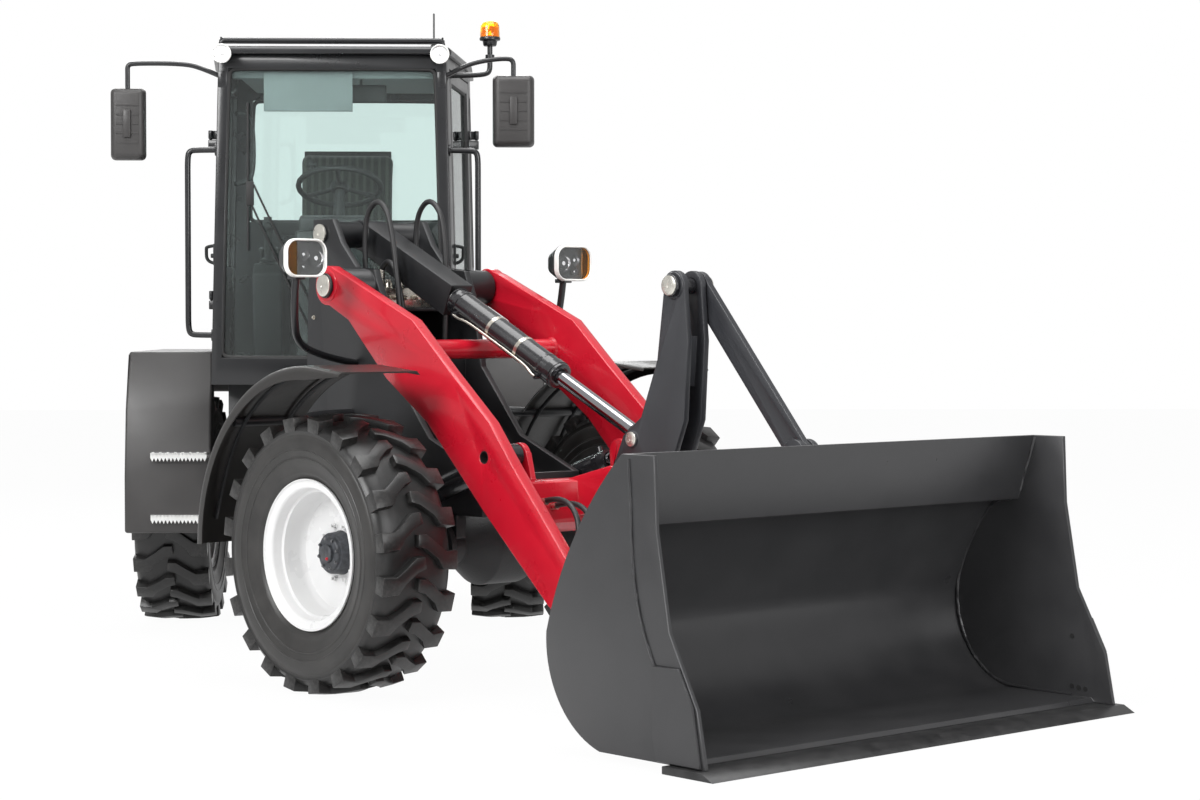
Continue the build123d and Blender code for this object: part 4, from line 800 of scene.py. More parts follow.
# Points of a front fender's path from its tip back and round behind the wheel, each with its outward
# direction and how deep the lip is there.
def fenderStations():
    centre = Vector((machine["halfWheelbase"], 0, axleZ))
    stations = []
    for degrees in range(frontFender["end"], frontFender["start"] - 1, -4):
        outward = Vector((math.cos(math.radians(degrees)), 0, math.sin(math.radians(degrees))))
        stations.append((centre + outward * frontFender["radius"], outward, 1.0))
    last = stations[-1][0]
    tip = Vector((frontFender["tip"], 0, frontFender["tipZ"]))
    for share in (0.15, 0.4, 0.65, 0.85, 1.0):
        stations.append((last.lerp(tip, share), Vector((0, 0, 1)), 1.0 - 0.8 * share))
    return stations


# The skin's section: flat across, rolled down at its outer edge.
def fenderSection(lip):
    inner, outer, skin = frontFender["inner"], frontFender["outer"], frontFender["skin"]
    roll = 0.032
    top = [(inner, -0.012), (inner + 0.012, 0.0), (outer - roll, 0.0)]
    bottom = [(outer - roll, -skin), (inner + 0.014, -skin), (inner + skin, -0.014), (inner, -0.014)]
    for step in range(1, 6):
        angle = math.radians(18 * step)
        sink = roll * (1 - math.cos(angle)) * (0.35 + 0.65 * lip)
        top.append((outer - roll + roll * math.sin(angle), -sink))
        bottom.insert(0, (outer - roll + (roll - skin) * math.sin(angle), -sink - skin * math.cos(angle)))
    top.append((outer, -frontFender["lip"] * lip - 0.008))
    bottom.insert(0, (outer - skin, -frontFender["lip"] * lip - 0.008))
    return top + bottom


for side, place in ((-1, "right"), (1, "left")):
    bm = bmesh.new()
    rings = []
    for spot, outward, lip in fenderStations():
        rings.append([bm.verts.new(spot + outward * r + Vector((0, side * y, 0))) for y, r in fenderSection(lip)])
    for first, second in zip(rings, rings[1:]):
        for k in range(len(first)):
            bm.faces.new((first[k], first[k - 1], second[k - 1], second[k]))
    bm.faces.new(rings[0])
    bm.faces.new(rings[-1])
    finishPiece(bm, "front_fender_" + place + "_skin", "front_half", "fenderPlastic", frontHalf, smooth=50,
                instead=("front_fenders",) if side < 0 else ())
    # brackets under the skin, from the tower out to a strap that follows it
    bm = bmesh.new()
    addTube(bm, [(0.500, side * 0.246, 1.012), (0.510, side * 0.390, 1.012), (0.585, side * 0.520, 1.006),
                 (0.600, side * 0.640, 1.000), (0.600, side * 0.880, 1.000)], 0.020, steps=16, smooth=8)
    strap = []
    for degrees in (172, 150, 128, 106, 92):
        outward = Vector((math.cos(math.radians(degrees)), 0, math.sin(math.radians(degrees))))
        strap.append(Vector((machine["halfWheelbase"], 0, axleZ)) + outward * (frontFender["radius"] - 0.012))
    for across in (0.640, 0.840):
        addTube(bm, [(p.x, side * across, p.z) for p in strap], 0.008, steps=8, smooth=6)
    finishPiece(bm, "front_fender_" + place + "_brackets", "front_half", "chassisBlack", frontHalf)
    bm = bmesh.new()
    for degrees in (165, 150, 135, 120, 105):
        outward = Vector((math.cos(math.radians(degrees)), 0, math.sin(math.radians(degrees))))
        for across in (0.640, 0.840):
            base = Vector((machine["halfWheelbase"], side * across, axleZ)) + outward * frontFender["radius"]
            turnedAlong(bm, base - outward * 0.0005, outward,
                        [(0.0, 0.0), (0.009, 0.0), (0.009, 0.0015), (0.006, 0.0032), (0.0, 0.0038)], 14)
    finishPiece(bm, "front_fender_" + place + "_bolts", "front_half", "pinSteel", frontHalf)

# rear fenders: the moulded panel and its serrated steps
roundedNode("rear_fenders", "root", "greyPlastic", width=0.012, segments=3, sharper=25, smooth=60, flatten=False)
steps = {"front": -0.380, "depth": 0.050, "inner": 0.560, "outer": 0.805, "teeth": 15, "heights": (0.803, 0.530)}
for side, place in ((-1, "right"), (1, "left")):
    bm = bmesh.new()
    pitch = (steps["outer"] - steps["inner"]) / steps["teeth"]
    for level in steps["heights"]:
        edge = []
        for tooth in range(steps["teeth"]):
            across = steps["inner"] + pitch * tooth
            edge += [(steps["front"] + 0.004, side * across), (steps["front"] + 0.013, side * (across + pitch / 2))]
        edge.append((steps["front"] + 0.004, side * steps["outer"]))
        outline = edge + [(steps["front"] - steps["depth"], side * steps["outer"]),
                          (steps["front"] - steps["depth"], side * steps["inner"])]
        addPlate(bm, outline, level + 0.0005, level + 0.005, across="z")
        saw = []
        for tooth in range(steps["teeth"]):
            across = steps["inner"] + pitch * tooth
            saw += [(side * across, level - 0.016), (side * (across + pitch / 2), level - 0.032)]
        saw += [(side * steps["outer"], level - 0.016), (side * steps["outer"], level + 0.004),
                (side * steps["inner"], level + 0.004)]
        addPlate(bm, saw, steps["front"] + 0.0005, steps["front"] + 0.004, across="x")
        for tooth in range(0, steps["teeth"], 2):
            addTurned(bm, [(0.0045, 0.0), (0.0062, 0.0), (0.0055, 0.003), (0.0045, 0.003)],
                      (steps["front"] - 0.022, side * (steps["inner"] + pitch * (tooth + 0.5)), level + 0.0048),
                      "z", 12,
                      closed=True)
    finishPiece(bm, "steps_" + place, "root", "stepMetal", rearHalf)
print("fenders done")

cabShape = {"floor": 1.109, "top": 2.540, "frontLow": -0.270, "frontHigh": -0.300, "backLow": -1.500,
            "backHigh": -1.490}
# (x, y at the floor, y at the roof) of the cab's side at its corners
cabSide = [(-0.285, 0.526, 0.492), (-1.060, 0.605, 0.575), (-1.500, 0.605, 0.575)]


def frontX(z):
    share = (z - cabShape["floor"]) / (cabShape["top"] - cabShape["floor"])
    return cabShape["frontLow"] + (cabShape["frontHigh"] - cabShape["frontLow"]) * share


def backX(z):
    share = (z - cabShape["floor"]) / (cabShape["top"] - cabShape["floor"])
    return cabShape["backLow"] + (cabShape["backHigh"] - cabShape["backLow"]) * share


def sideY(x, z):
    share = (z - cabShape["floor"]) / (cabShape["top"] - cabShape["floor"])
    reach = [(px, low + (high - low) * share) for px, low, high in cabSide]
    for (x0, y0), (x1, y1) in zip(reach, reach[1:]):
        if x >= x1:
            return y0 + (y1 - y0) * (x0 - x) / (x0 - x1)
    return reach[-1][1]


roundedNode("cab_frame", "root", "cabPaint", width=0.004, segments=2, sharper=25, flatten=False)
roundedNode("cab_roof", "root", "cabPaint", width=0.004, segments=3, sharper=25)
for place in ("right", "left"):
    roundedNode("door_" + place, "door_" + place, "cabPaint", width=0.004, segments=2, sharper=25, flatten=False)
    paintNode("door_" + place + "_glass", "glass")
paintNode("cab_glass", "glass")


# A line through corners that cuts each of them short, so that the tube laid on it turns softly.
def sealLine(corners, rounding):
    points = []
    nearCorner = 0.12
    for k, corner in enumerate(corners):
        before, after = Vector(corners[k - 1]), Vector(corners[(k + 1) % len(corners)])
        here = Vector(corner)
        back, onward = (before - here).normalized(), (after - here).normalized()
        points.append(here + back * rounding)
        points.append(here + back * rounding * nearCorner + onward * rounding * nearCorner)
        points.append(here + onward * rounding)
    return points


# rubber seals round the fixed windows
bm = bmesh.new()
screen = [(-0.480, 1.226), (0.480, 1.226), (0.448, 2.480), (-0.448, 2.480)]
addTube(bm, sealLine([(frontX(z) - 0.013, y, z) for y, z in screen], 0.05), 0.010, closed=True)
rearWindow = [(-0.480, 1.860), (0.480, 1.860), (0.460, 2.440), (-0.460, 2.440)]
addTube(bm, sealLine([(backX(z) + 0.013, y, z) for y, z in rearWindow], 0.05), 0.010, closed=True)
for side in (-1, 1):
    quarter = [(-1.110, 1.640), (-1.440, 1.640), (-1.440, 2.450), (-1.110, 2.450)]
    addTube(bm, sealLine([(x, side * (sideY(x, z) - 0.013), z) for x, z in quarter], 0.04), 0.010, closed=True)
finishPiece(bm, "window_seals", "root", "seal", rearHalf)
for side, place in ((-1, "right"), (1, "left")):
    bm = bmesh.new()
    pane = [(-0.464, 1.330), (-0.976, 1.330), (-0.976, 2.432), (-0.464, 2.432)]
    addTube(bm, sealLine([(x, side * (sideY(x, z) - 0.013), z) for x, z in pane], 0.05), 0.009, closed=True)
    finishPiece(bm, "door_" + place + "_seal", "door_" + place, "seal", rearHalf)
    # handle: a pull lever on a recessed plate, with its push button
    bm = bmesh.new()
    at = sideY(-0.430, 1.677)
    plate = addBlock(bm, (-0.455, side * at - 0.004, 1.630), (-0.412, side * at + 0.004, 1.724))
    roundEdges(bm, plate, 0.003, 2)
    addTube(bm, [(-0.433, side * (at + 0.002), 1.640), (-0.433, side * (at + 0.034), 1.646),
                 (-0.433, side * (at + 0.036), 1.700), (-0.433, side * (at + 0.034), 1.712),
                 (-0.433, side * (at + 0.002), 1.716)], 0.0075, steps=12)
    addBar(bm, (-0.433, side * at, 1.672), (-0.433, side * (at + 0.016), 1.672), 0.011, 0.009, steps=20)
    finishPiece(bm, "door_" + place + "_handle", "door_" + place, "interior", rearHalf)

# sun visor, headliner and its front lip
bm = bmesh.new()
liner = addPlate(bm, [(-0.345, 2.486), (-0.352, 2.440), (-0.385, 2.440), (-0.430, 2.470), (-1.400, 2.470),
                      (-1.440, 2.486)],
                 -0.440, 0.440)
roundEdges(bm, liner, 0.008, 3)
finishPiece(bm, "headliner", "root", "headliner", rearHalf)
bm = bmesh.new()
visor = addPlate(bm, [(-0.336, 2.470), (-0.334, 2.300), (-0.339, 2.296), (-0.343, 2.302), (-0.346, 2.470)],
                 -0.300, 0.085)
roundEdges(bm, visor, 0.0015, 2)
finishPiece(bm, "sun_visor", "root", "headliner", rearHalf)
# inner mirror on its stalk
bm = bmesh.new()
mirrorShell = addBlock(bm, (-0.520, 0.000, 2.348), (-0.496, 0.224, 2.428))
roundEdges(bm, mirrorShell, 0.010, 4)
addTube(bm, [(-0.508, 0.112, 2.424), (-0.508, 0.112, 2.450), (-0.500, 0.112, 2.475)], 0.006)
finishPiece(bm, "inner_mirror_shell", "root", "interior", rearHalf)
bm = bmesh.new()
addBlock(bm, (-0.5225, 0.008, 2.355), (-0.5185, 0.216, 2.421))
finishPiece(bm, "inner_mirror_glass", "root", "chrome", rearHalf)

# wiper: motor boss low in the middle, two thin arms and an upright blade on the right
bm = bmesh.new()
wiper = {"pivot": (0.030, 1.205), "across": -0.365}
out = 0.016
pivotX = frontX(wiper["pivot"][1])
addTurned(bm, [(0.0, 0.026), (0.012, 0.026), (0.016, 0.022), (0.018, 0.0), (0.0, 0.0)], (pivotX, 0.030, 1.205), "x", 24)
addTurned(bm, [(0.0, 0.020), (0.009, 0.020), (0.012, 0.0), (0.0, 0.0)], (frontX(1.205), -0.030, 1.205), "x", 20)
for start, end in (((0.030, 1.205), (-0.338, 1.975)), ((-0.030, 1.205), (-0.352, 1.900))):
    addTube(bm, [(frontX(start[1]) + out, *start), (frontX(1.30) + 0.020, start[0] - 0.045, 1.300),
                 (frontX(end[1]) + 0.022, end[0] + 0.012, end[1] - 0.03), (frontX(end[1]) + 0.018, *end)],
            0.0045, steps=8)
head = addBlock(bm, (frontX(1.94) + 0.008, -0.372, 1.885), (frontX(1.94) + 0.024, -0.338, 1.990))
roundEdges(bm, head, 0.004, 2)
addTube(bm, [(frontX(z) + 0.006 + 0.004 * math.sin((z - 1.69) / 0.64 * math.pi), wiper["across"], z)
             for z in (1.690, 1.800, 1.940, 2.120, 2.260, 2.330)], 0.0055, steps=8)
addBlock(bm, (frontX(2.0) - 0.004, wiper["across"] - 0.002, 1.695),
         (frontX(2.0) + 0.004, wiper["across"] + 0.002, 2.325))
finishPiece(bm, "wiper", "root", "seal", rearHalf)
# inside handle beside the screen and the tall lever column in front of it
bm = bmesh.new()
addTube(bm, [(-0.375, -0.425, 2.290), (-0.420, -0.385, 2.300), (-0.450, -0.360, 2.260), (-0.450, -0.355, 2.050),
             (-0.430, -0.380, 1.990), (-0.385, -0.430, 1.985)], 0.011)
finishPiece(bm, "inside_handle", "root", "interior", rearHalf)
print("cab done")

paintNode("seat_base", "interior")
roundedNode("control_console", "root", "interior", width=0.012, segments=3, sharper=25)
bm = bmesh.new()
# gaiter, dials' hood and a row of switches on the dash
addTurned(bm, [(0.062, 0.0), (0.058, 0.010), (0.064, 0.018), (0.050, 0.026), (0.056, 0.034), (0.042, 0.042),
               (0.046, 0.050), (0.032, 0.058), (0.028, 0.060)], (-0.575, 0, 1.560), "z", 32)
hood = addPlate(bm, [(-0.340, 1.775), (-0.340, 1.835), (-0.400, 1.850), (-0.470, 1.815), (-0.485, 1.775)],
                -0.150, 0.150)
roundEdges(bm, hood, 0.010, 3)
for k in range(5):
    key = addBlock(bm, (-0.500, -0.110 + 0.045 * k, 1.690), (-0.4885, -0.080 + 0.045 * k, 1.730))
    roundEdges(bm, key, 0.003, 2)
finishPiece(bm, "dash_details", "root", "interior", rearHalf)
# side console: joystick with its boot and grip, and two short levers
bm = bmesh.new()
addTurned(bm, [(0.050, 0.0), (0.046, 0.010), (0.050, 0.016), (0.036, 0.026), (0.040, 0.032), (0.024, 0.044),
               (0.016, 0.050), (0.0, 0.050)], (-0.895, -0.335, 1.632), "z", 28)
addTube(bm, [(-0.895, -0.335, 1.650), (-0.880, -0.335, 1.720), (-0.868, -0.335, 1.790), (-0.862, -0.335, 1.860)], 0.018)
for across in (-0.300, -0.372):
    addTube(bm, [(-0.960, across, 1.630), (-0.950, across, 1.670), (-0.940, across, 1.700)], 0.006)
    addTurned(bm, [(0.0, 0.0), (0.011, 0.004), (0.013, 0.014), (0.009, 0.024), (0.0, 0.027)], (-0.939, across, 1.696),
              "z", 16)
finishPiece(bm, "side_levers", "root", "interior", rearHalf)

# steering wheel: rim with finger grips, three spokes, boss and knob
bm = bmesh.new()
centre = Vector((-0.750, 0, 1.985))
lean = (Vector((-0.750, 0, 1.985)) - Vector((-0.560, 0, 1.560))).normalized()
wheelPlace = Matrix.Translation(centre + lean * 0.007) @ lean.to_track_quat("Z", "Y").to_matrix().to_4x4()
before = set(bm.verts)
ring = [(0.185 + 0.0125 * math.cos(2 * math.pi * k / 14), 0.0125 * math.sin(2 * math.pi * k / 14)) for k in range(14)]
addTurned(bm, ring, (0, 0, 0), "z", 96, closed=True)
for v in newOnes(bm, before):
    radial = Vector((v.co.x, v.co.y, 0))
    turn = math.atan2(v.co.y, v.co.x)
    middle = radial.normalized() * 0.185
    v.co = middle + (v.co - middle) * (1 + 0.05 * math.sin(turn * 24))
addTurned(bm, [(0.0, 0.020), (0.030, 0.020), (0.040, 0.014), (0.044, 0.0), (0.038, -0.020), (0.0, -0.024)], (0, 0, 0),
          "z", 36)
for degrees in (90, 210, 330):
    way = Vector((math.cos(math.radians(degrees)), math.sin(math.radians(degrees)), 0))
    addTube(bm, [way * 0.030, way * 0.090 + Vector((0, 0, -0.006)), way * 0.150 + Vector((0, 0, -0.002)), way * 0.182],
            0.010, steps=12)
addTurned(bm, [(0.0, 0.060), (0.016, 0.058), (0.022, 0.048), (0.020, 0.032), (0.010, 0.024), (0.010, 0.010),
               (0.0, 0.010)],
          (0.120, 0.140, 0), "z", 24)
bmesh.ops.transform(bm, verts=newOnes(bm, before), matrix=wheelPlace)
addBar(bm, (-0.560, 0, 1.560), centre - lean * 0.015, 0.030, 0.024, steps=28)
finishPiece(bm, "steering_wheel", "root", "interior", rearHalf, instead=("steering_column",))


# The rounded block a cushion is inflated from, leaned about its middle.
def padCushion(low, high, lean=0.0):
    bm = bmesh.new()
    shape = addBlock(bm, low, high)
    roundEdges(bm, shape, 0.035, 4)
    if lean:
        middle = Vector(low) + (Vector(high) - Vector(low)) / 2
        tip = Matrix.Translation(middle) @ Matrix.Rotation(math.radians(lean), 4, "Y") @ Matrix.Translation(-middle)
        bmesh.ops.transform(bm, matrix=tip, verts=bm.verts)
    return bm


def inflate(piece, swell):
    remesh = piece.modifiers.new("even", "REMESH")
    remesh.mode = "VOXEL"
    remesh.voxel_size = 0.012
    bpy.context.view_layer.update()
    evened = bpy.data.meshes.new_from_object(piece.evaluated_get(bpy.context.evaluated_depsgraph_get()))
    piece.modifiers.clear()
    look = piece.data.materials[0]
    piece.data = evened
    piece.data.materials.clear()
    piece.data.materials.append(look)
    start = [v.co.copy() for v in piece.data.vertices]
    cloth = piece.modifiers.new("stuffing", "CLOTH")
    cloth.settings.use_pressure = True
    cloth.settings.uniform_pressure_force = 4
    cloth.settings.effector_weights.gravity = 0
    cloth.settings.quality = 5
    cloth.point_cache.frame_start = 1
    cloth.point_cache.frame_end = 20
    for frameNumber in range(1, 21):
        bpy.context.scene.frame_set(frameNumber)
    swollen = piece.evaluated_get(bpy.context.evaluated_depsgraph_get()).data
    moved = [v.co - s for v, s in zip(swollen.vertices, start)]
    piece.modifiers.clear()
    bpy.context.scene.frame_set(1)
    for v, s, m in zip(piece.data.vertices, start, moved):
        v.co = s + m * min(1, swell / max(m.length, 1e-6))
    soften = piece.modifiers.new("soften", "SUBSURF")
    soften.levels = 1
    soften.render_levels = 1
    bpy.context.view_layer.update()
    smooth = bpy.data.meshes.new_from_object(piece.evaluated_get(bpy.context.evaluated_depsgraph_get()))
    piece.modifiers.clear()
    piece.data = smooth
    smooth.polygons.foreach_set("use_smooth", [True] * len(smooth.polygons))


for name, low, high, lean in (
        ("seat_cushion", (-1.255, -0.230, 1.436), (-0.815, 0.230, 1.552), 0),
        ("seat_backrest", (-1.292, -0.222, 1.580), (-1.212, 0.222, 2.178), -8)):
    bm = padCushion(low, high, lean)
    piece = finishPiece(bm, name, "root", "seatCloth", rearHalf, smooth=60,
                        instead=("seat_cushions",) if name == "seat_cushion" else ())
    inflate(piece, 0.010)
# shell of the backrest, armrest and belt buckle
bm = bmesh.new()
shell = addPlate(bm, [(-1.250, 1.560), (-1.262, 1.560), (-1.352, 2.170), (-1.342, 2.190), (-1.330, 2.190)],
                 -0.205, 0.205)
roundEdges(bm, shell, 0.004, 2)
rest = addBlock(bm, (-1.180, 0.238, 1.700), (-0.880, 0.296, 1.745))
roundEdges(bm, rest, 0.016, 4)
addTube(bm, [(-1.265, 0.245, 1.640), (-1.220, 0.266, 1.690), (-1.170, 0.267, 1.712)], 0.012)
finishPiece(bm, "seat_shell", "root", "interior", rearHalf)
print("interior done")

# arms of the two outside mirrors
bm = bmesh.new()
addTube(bm, [(-0.320, -0.470, 2.440), (-0.312, -0.560, 2.480), (-0.306, -0.640, 2.500), (-0.300, -0.860, 2.500),
             (-0.300, -0.883, 2.490), (-0.300, -0.883, 2.460), (-0.300, -0.883, 2.120)], 0.0105, steps=16, smooth=10)
addTube(bm, [(-0.320, 0.470, 2.440), (-0.312, 0.560, 2.488), (-0.306, 0.640, 2.515), (-0.300, 0.760, 2.528),
             (-0.300, 0.785, 2.515), (-0.300, 0.785, 2.480), (-0.300, 0.785, 2.180)], 0.0105, steps=16, smooth=10)
for side in (-1, 1):
    clamp = addBlock(bm, (-0.345, side * 0.474 - 0.020, 2.395), (-0.295, side * 0.474 + 0.020, 2.470))
    roundEdges(bm, clamp, 0.006, 2)
    addHexHead(bm, (-0.296, side * 0.474, 2.450), (1, 0, 0), 0.009)
    addHexHead(bm, (-0.296, side * 0.474, 2.415), (1, 0, 0), 0.009)
finishPiece(bm, "mirror_arms", "root", "cabPaint", rearHalf)
# (y, z, width) of the two mirrors
for middle, height, wide, label in ((-0.883, 2.238, 0.160, "right"), (0.785, 2.298, 0.190, "left")):
    bm = bmesh.new()
    shell = addBlock(bm, (-0.338, middle - wide / 2, height - 0.160), (-0.275, middle + wide / 2, height + 0.160))
    upper = [v for v in shell if v.co.x > -0.30]
    for v in upper:
        v.co.y = middle + (v.co.y - middle) * 0.86
        v.co.z = height + (v.co.z - height) * 0.93
    roundEdges(bm, shell, 0.022, 5, sharper=20)
    for k in range(5):
        addBlock(bm, (-0.277, middle - wide * 0.30, height - 0.080 + 0.040 * k - 0.003),
                 (-0.272, middle + wide * 0.30, height - 0.080 + 0.040 * k + 0.003))
    grip = addBlock(bm, (-0.279, middle - 0.016, height - 0.060), (-0.264, middle + 0.016, height + 0.060))
    roundEdges(bm, grip, 0.004, 2)
    finishPiece(bm, "mirror_shell_" + label, "root", "greyPlastic", rearHalf,
                instead=("mirrors",) if label == "right" else ())
    bm = bmesh.new()
    pane = addBlock(bm, (-0.3415, middle - wide / 2 + 0.012, height - 0.148),
                    (-0.3370, middle + wide / 2 - 0.012, height + 0.148))
    roundEdges(bm, pane, 0.0015, 1)
    finishPiece(bm, "mirror_glass_" + label, "root", "chrome", rearHalf)

bm = bmesh.new()
for side in (-1, 1):
    addTube(bm, [(-0.330, side * 0.500, 1.325), (-0.330, side * 0.590, 1.325), (-0.330, side * 0.622, 1.330),
                 (-0.330, side * 0.630, 1.360), (-0.330, side * 0.630, 1.450), (-0.330, side * 0.630, 2.000),
                 (-0.330, side * 0.630, 2.095), (-0.330, side * 0.622, 2.124), (-0.330, side * 0.590, 2.129),
                 (-0.330, side * 0.480, 2.129)], 0.0128, steps=16, smooth=8)
    for z in (1.325, 2.129):
        foot = sideY(-0.330, z)
        addTurned(bm, [(0.0, -0.004), (0.026, -0.004), (0.026, 0.004), (0.017, 0.007), (0.0, 0.007)],
                  (-0.330, side * foot, z), "y", 24)
finishPiece(bm, "grab_rail_tubes", "root", "cabPaint", rearHalf, instead=("grab_rails",))

# work lamps: housing, reflector, lens and ring
for side, label in ((-1, "right"), (1, "left")):
    middle = (-0.205, side * 0.468, 2.535)
    bm = bmesh.new()
    addTurned(bm, [(0.0, -0.053), (0.020, -0.053), (0.036, -0.036), (0.0415, -0.010), (0.0415, -0.002), (0.0385, 0.0),
                   (0.0360, -0.002), (0.0360, -0.008), (0.0, -0.030)], middle, "x", 40)
    finishPiece(bm, "work_lamp_housing_" + label, "root", "lampWhite", rearHalf, instead=("lamps",) if side < 0 else ())
    bm = bmesh.new()
    addTurned(bm, [(0.0345, -0.005), (0.028, -0.016), (0.016, -0.023), (0.008, -0.025), (0.008, -0.018), (0.0, -0.015)],
              middle, "x", 32)
    finishPiece(bm, "work_lamp_bowl_" + label, "root", "reflector", rearHalf)
    bm = bmesh.new()
    addTurned(bm, [(0.0, 0.0005), (0.018, 0.0), (0.0358, -0.003), (0.0358, -0.0055), (0.018, -0.003), (0.0, -0.0025)],
              middle, "x", 32)
    finishPiece(bm, "work_lamp_lens_" + label, "root", "clearLens", rearHalf)
    bm = bmesh.new()
    addTube(bm, [(-0.300, side * 0.440, 2.535), (-0.262, side * 0.455, 2.535), (-0.250, side * 0.468, 2.535)], 0.010)
    finishPiece(bm, "work_lamp_stalk_" + label, "root", "cabPaint", rearHalf)

# beacon on its bent tube
beacon = {"x": -0.500, "y": 0.681}
beaconFoot = (beacon["x"], beacon["y"], 0)
bm = bmesh.new()
addTube(bm, [(-0.500, 0.500, 2.470), (-0.500, 0.560, 2.470), (-0.500, 0.660, 2.475), (-0.500, 0.681, 2.490),
             (-0.500, 0.681, 2.540), (-0.500, 0.681, 2.606)], 0.0115, steps=16, smooth=8)
addTurned(bm, [(0.0, 2.600), (0.026, 2.600), (0.030, 2.606), (0.032, 2.622), (0.045, 2.626), (0.0465, 2.634),
               (0.044, 2.640), (0.0, 2.640)], beaconFoot, "z", 40)
addTurned(bm, [(0.012, 2.540), (0.020, 2.542), (0.020, 2.562), (0.012, 2.564)], beaconFoot, "z", 24, closed=True)
finishPiece(bm, "beacon_base", "root", "cabPaint", rearHalf)
bm = bmesh.new()
dome = [(0.0, 2.711), (0.024, 2.709), (0.036, 2.702), (0.041, 2.690), (0.043, 2.641), (0.040, 2.641), (0.038, 2.688),
        (0.033, 2.698), (0.022, 2.705), (0.0, 2.707)]
before = set(bm.verts)
addTurned(bm, dome, beaconFoot, "z", 72)
for v in newOnes(bm, before):
    around = math.atan2(v.co.y - beacon["y"], v.co.x - beacon["x"])
    flute = 1 + 0.010 * math.sin(around * 24)
    v.co.x = beacon["x"] + (v.co.x - beacon["x"]) * flute
    v.co.y = beacon["y"] + (v.co.y - beacon["y"]) * flute
finishPiece(bm, "beacon_dome", "root", "amberLens", rearHalf)
bm = bmesh.new()
addTurned(bm, [(0.0, 2.692), (0.016, 2.688), (0.018, 2.660), (0.026, 2.650), (0.028, 2.641), (0.0, 2.641)], beaconFoot,
          "z", 28)
finishPiece(bm, "beacon_reflector", "root", "reflector", rearHalf)
# flat rail over the front of the roof, with its end brackets, and the aerial
bm = bmesh.new()
rail = addBlock(bm, (-0.302, -0.478, 2.585), (-0.286, 0.478, 2.610))
roundEdges(bm, rail, 0.003, 2)
for side in (-1, 1):
    leg = addPlate(bm, [(-0.340, 2.560), (-0.280, 2.560), (-0.284, 2.614), (-0.306, 2.614)],
                   side * 0.478 - 0.004, side * 0.478 + 0.004)
    roundEdges(bm, leg, 0.0015, 1)
    addHexHead(bm, (-0.292, side * 0.482, 2.598), (0, side, 0), 0.008)
finishPiece(bm, "roof_rail", "root", "cabPaint", rearHalf)
bm = bmesh.new()
addTurned(bm, [(0.0, 2.572), (0.017, 2.572), (0.015, 2.588), (0.008, 2.602), (0.0, 2.604)], (-0.400, 0.437, 0), "z", 24)
addBar(bm, (-0.400, 0.437, 2.600), (-0.400, 0.437, 2.730), 0.0032, 0.0016, steps=10)
finishPiece(bm, "aerial", "root", "seal", rearHalf)
rear = {"end": -2.420}
for side, label in ((-1, "right"), (1, "left")):
    low, high = sorted((side * 0.290, side * 0.390))
    bm = bmesh.new()
    body = addBlock(bm, (rear["end"] - 0.012, low, 0.880), (rear["end"] + 0.004, high, 0.970))
    roundEdges(bm, body, 0.004, 2)
    finishPiece(bm, "tail_lamp_body_" + label, "root", "interior", rearHalf)
    bm = bmesh.new()
    lens = addBlock(bm, (rear["end"] - 0.021, low + 0.006, 0.886), (rear["end"] - 0.010, high - 0.036, 0.964))
    roundEdges(bm, lens, 0.003, 2)
    finishPiece(bm, "tail_lamp_red_" + label, "root", "redLens", rearHalf)
    bm = bmesh.new()
    lens = addBlock(bm, (rear["end"] - 0.021, high - 0.034, 0.886), (rear["end"] - 0.010, high - 0.006, 0.964))
    roundEdges(bm, lens, 0.003, 2)
    finishPiece(bm, "tail_lamp_amber_" + label, "root", "amberLens", rearHalf)
print("lamps and mirrors done")

headlamp = {"y": 0.680, "z": 1.626, "wide": 0.190, "tall": 0.148, "round": 0.050, "front": 0.809}


# Corner-rounded outline of a headlamp, shrunk by an inset, as (y, z) points about its middle.
def lampOutline(inset=0.0, left=None, right=None):
    points = []
    half, high, radius = headlamp["wide"] / 2 - inset, headlamp["tall"] / 2 - inset, headlamp["round"] - inset
    for cornerY, cornerZ, first in ((1, 1, 0), (-1, 1, 90), (-1, -1, 180), (1, -1, 270)):
        for step in range(9):
            angle = math.radians(first + 90 * step / 8)
            points.append((cornerY * (half - radius) + radius * math.cos(angle),
                           cornerZ * (high - radius) + radius * math.sin(angle)))
    if left is not None:
        points = [(max(y, left), z) for y, z in points]
    if right is not None:
        points = [(min(y, right), z) for y, z in points]
    tidy = []
    for y, z in points:
        if not tidy or math.hypot(y - tidy[-1][0], z - tidy[-1][1]) > 1e-5:
            tidy.append((y, z))
    return tidy


def lampShape(bm, middleY, inset, low, high, left=None, right=None):
    return addPlate(bm, [(middleY + y, headlamp["z"] + z) for y, z in lampOutline(inset, left, right)], low, high,
                    across="x")


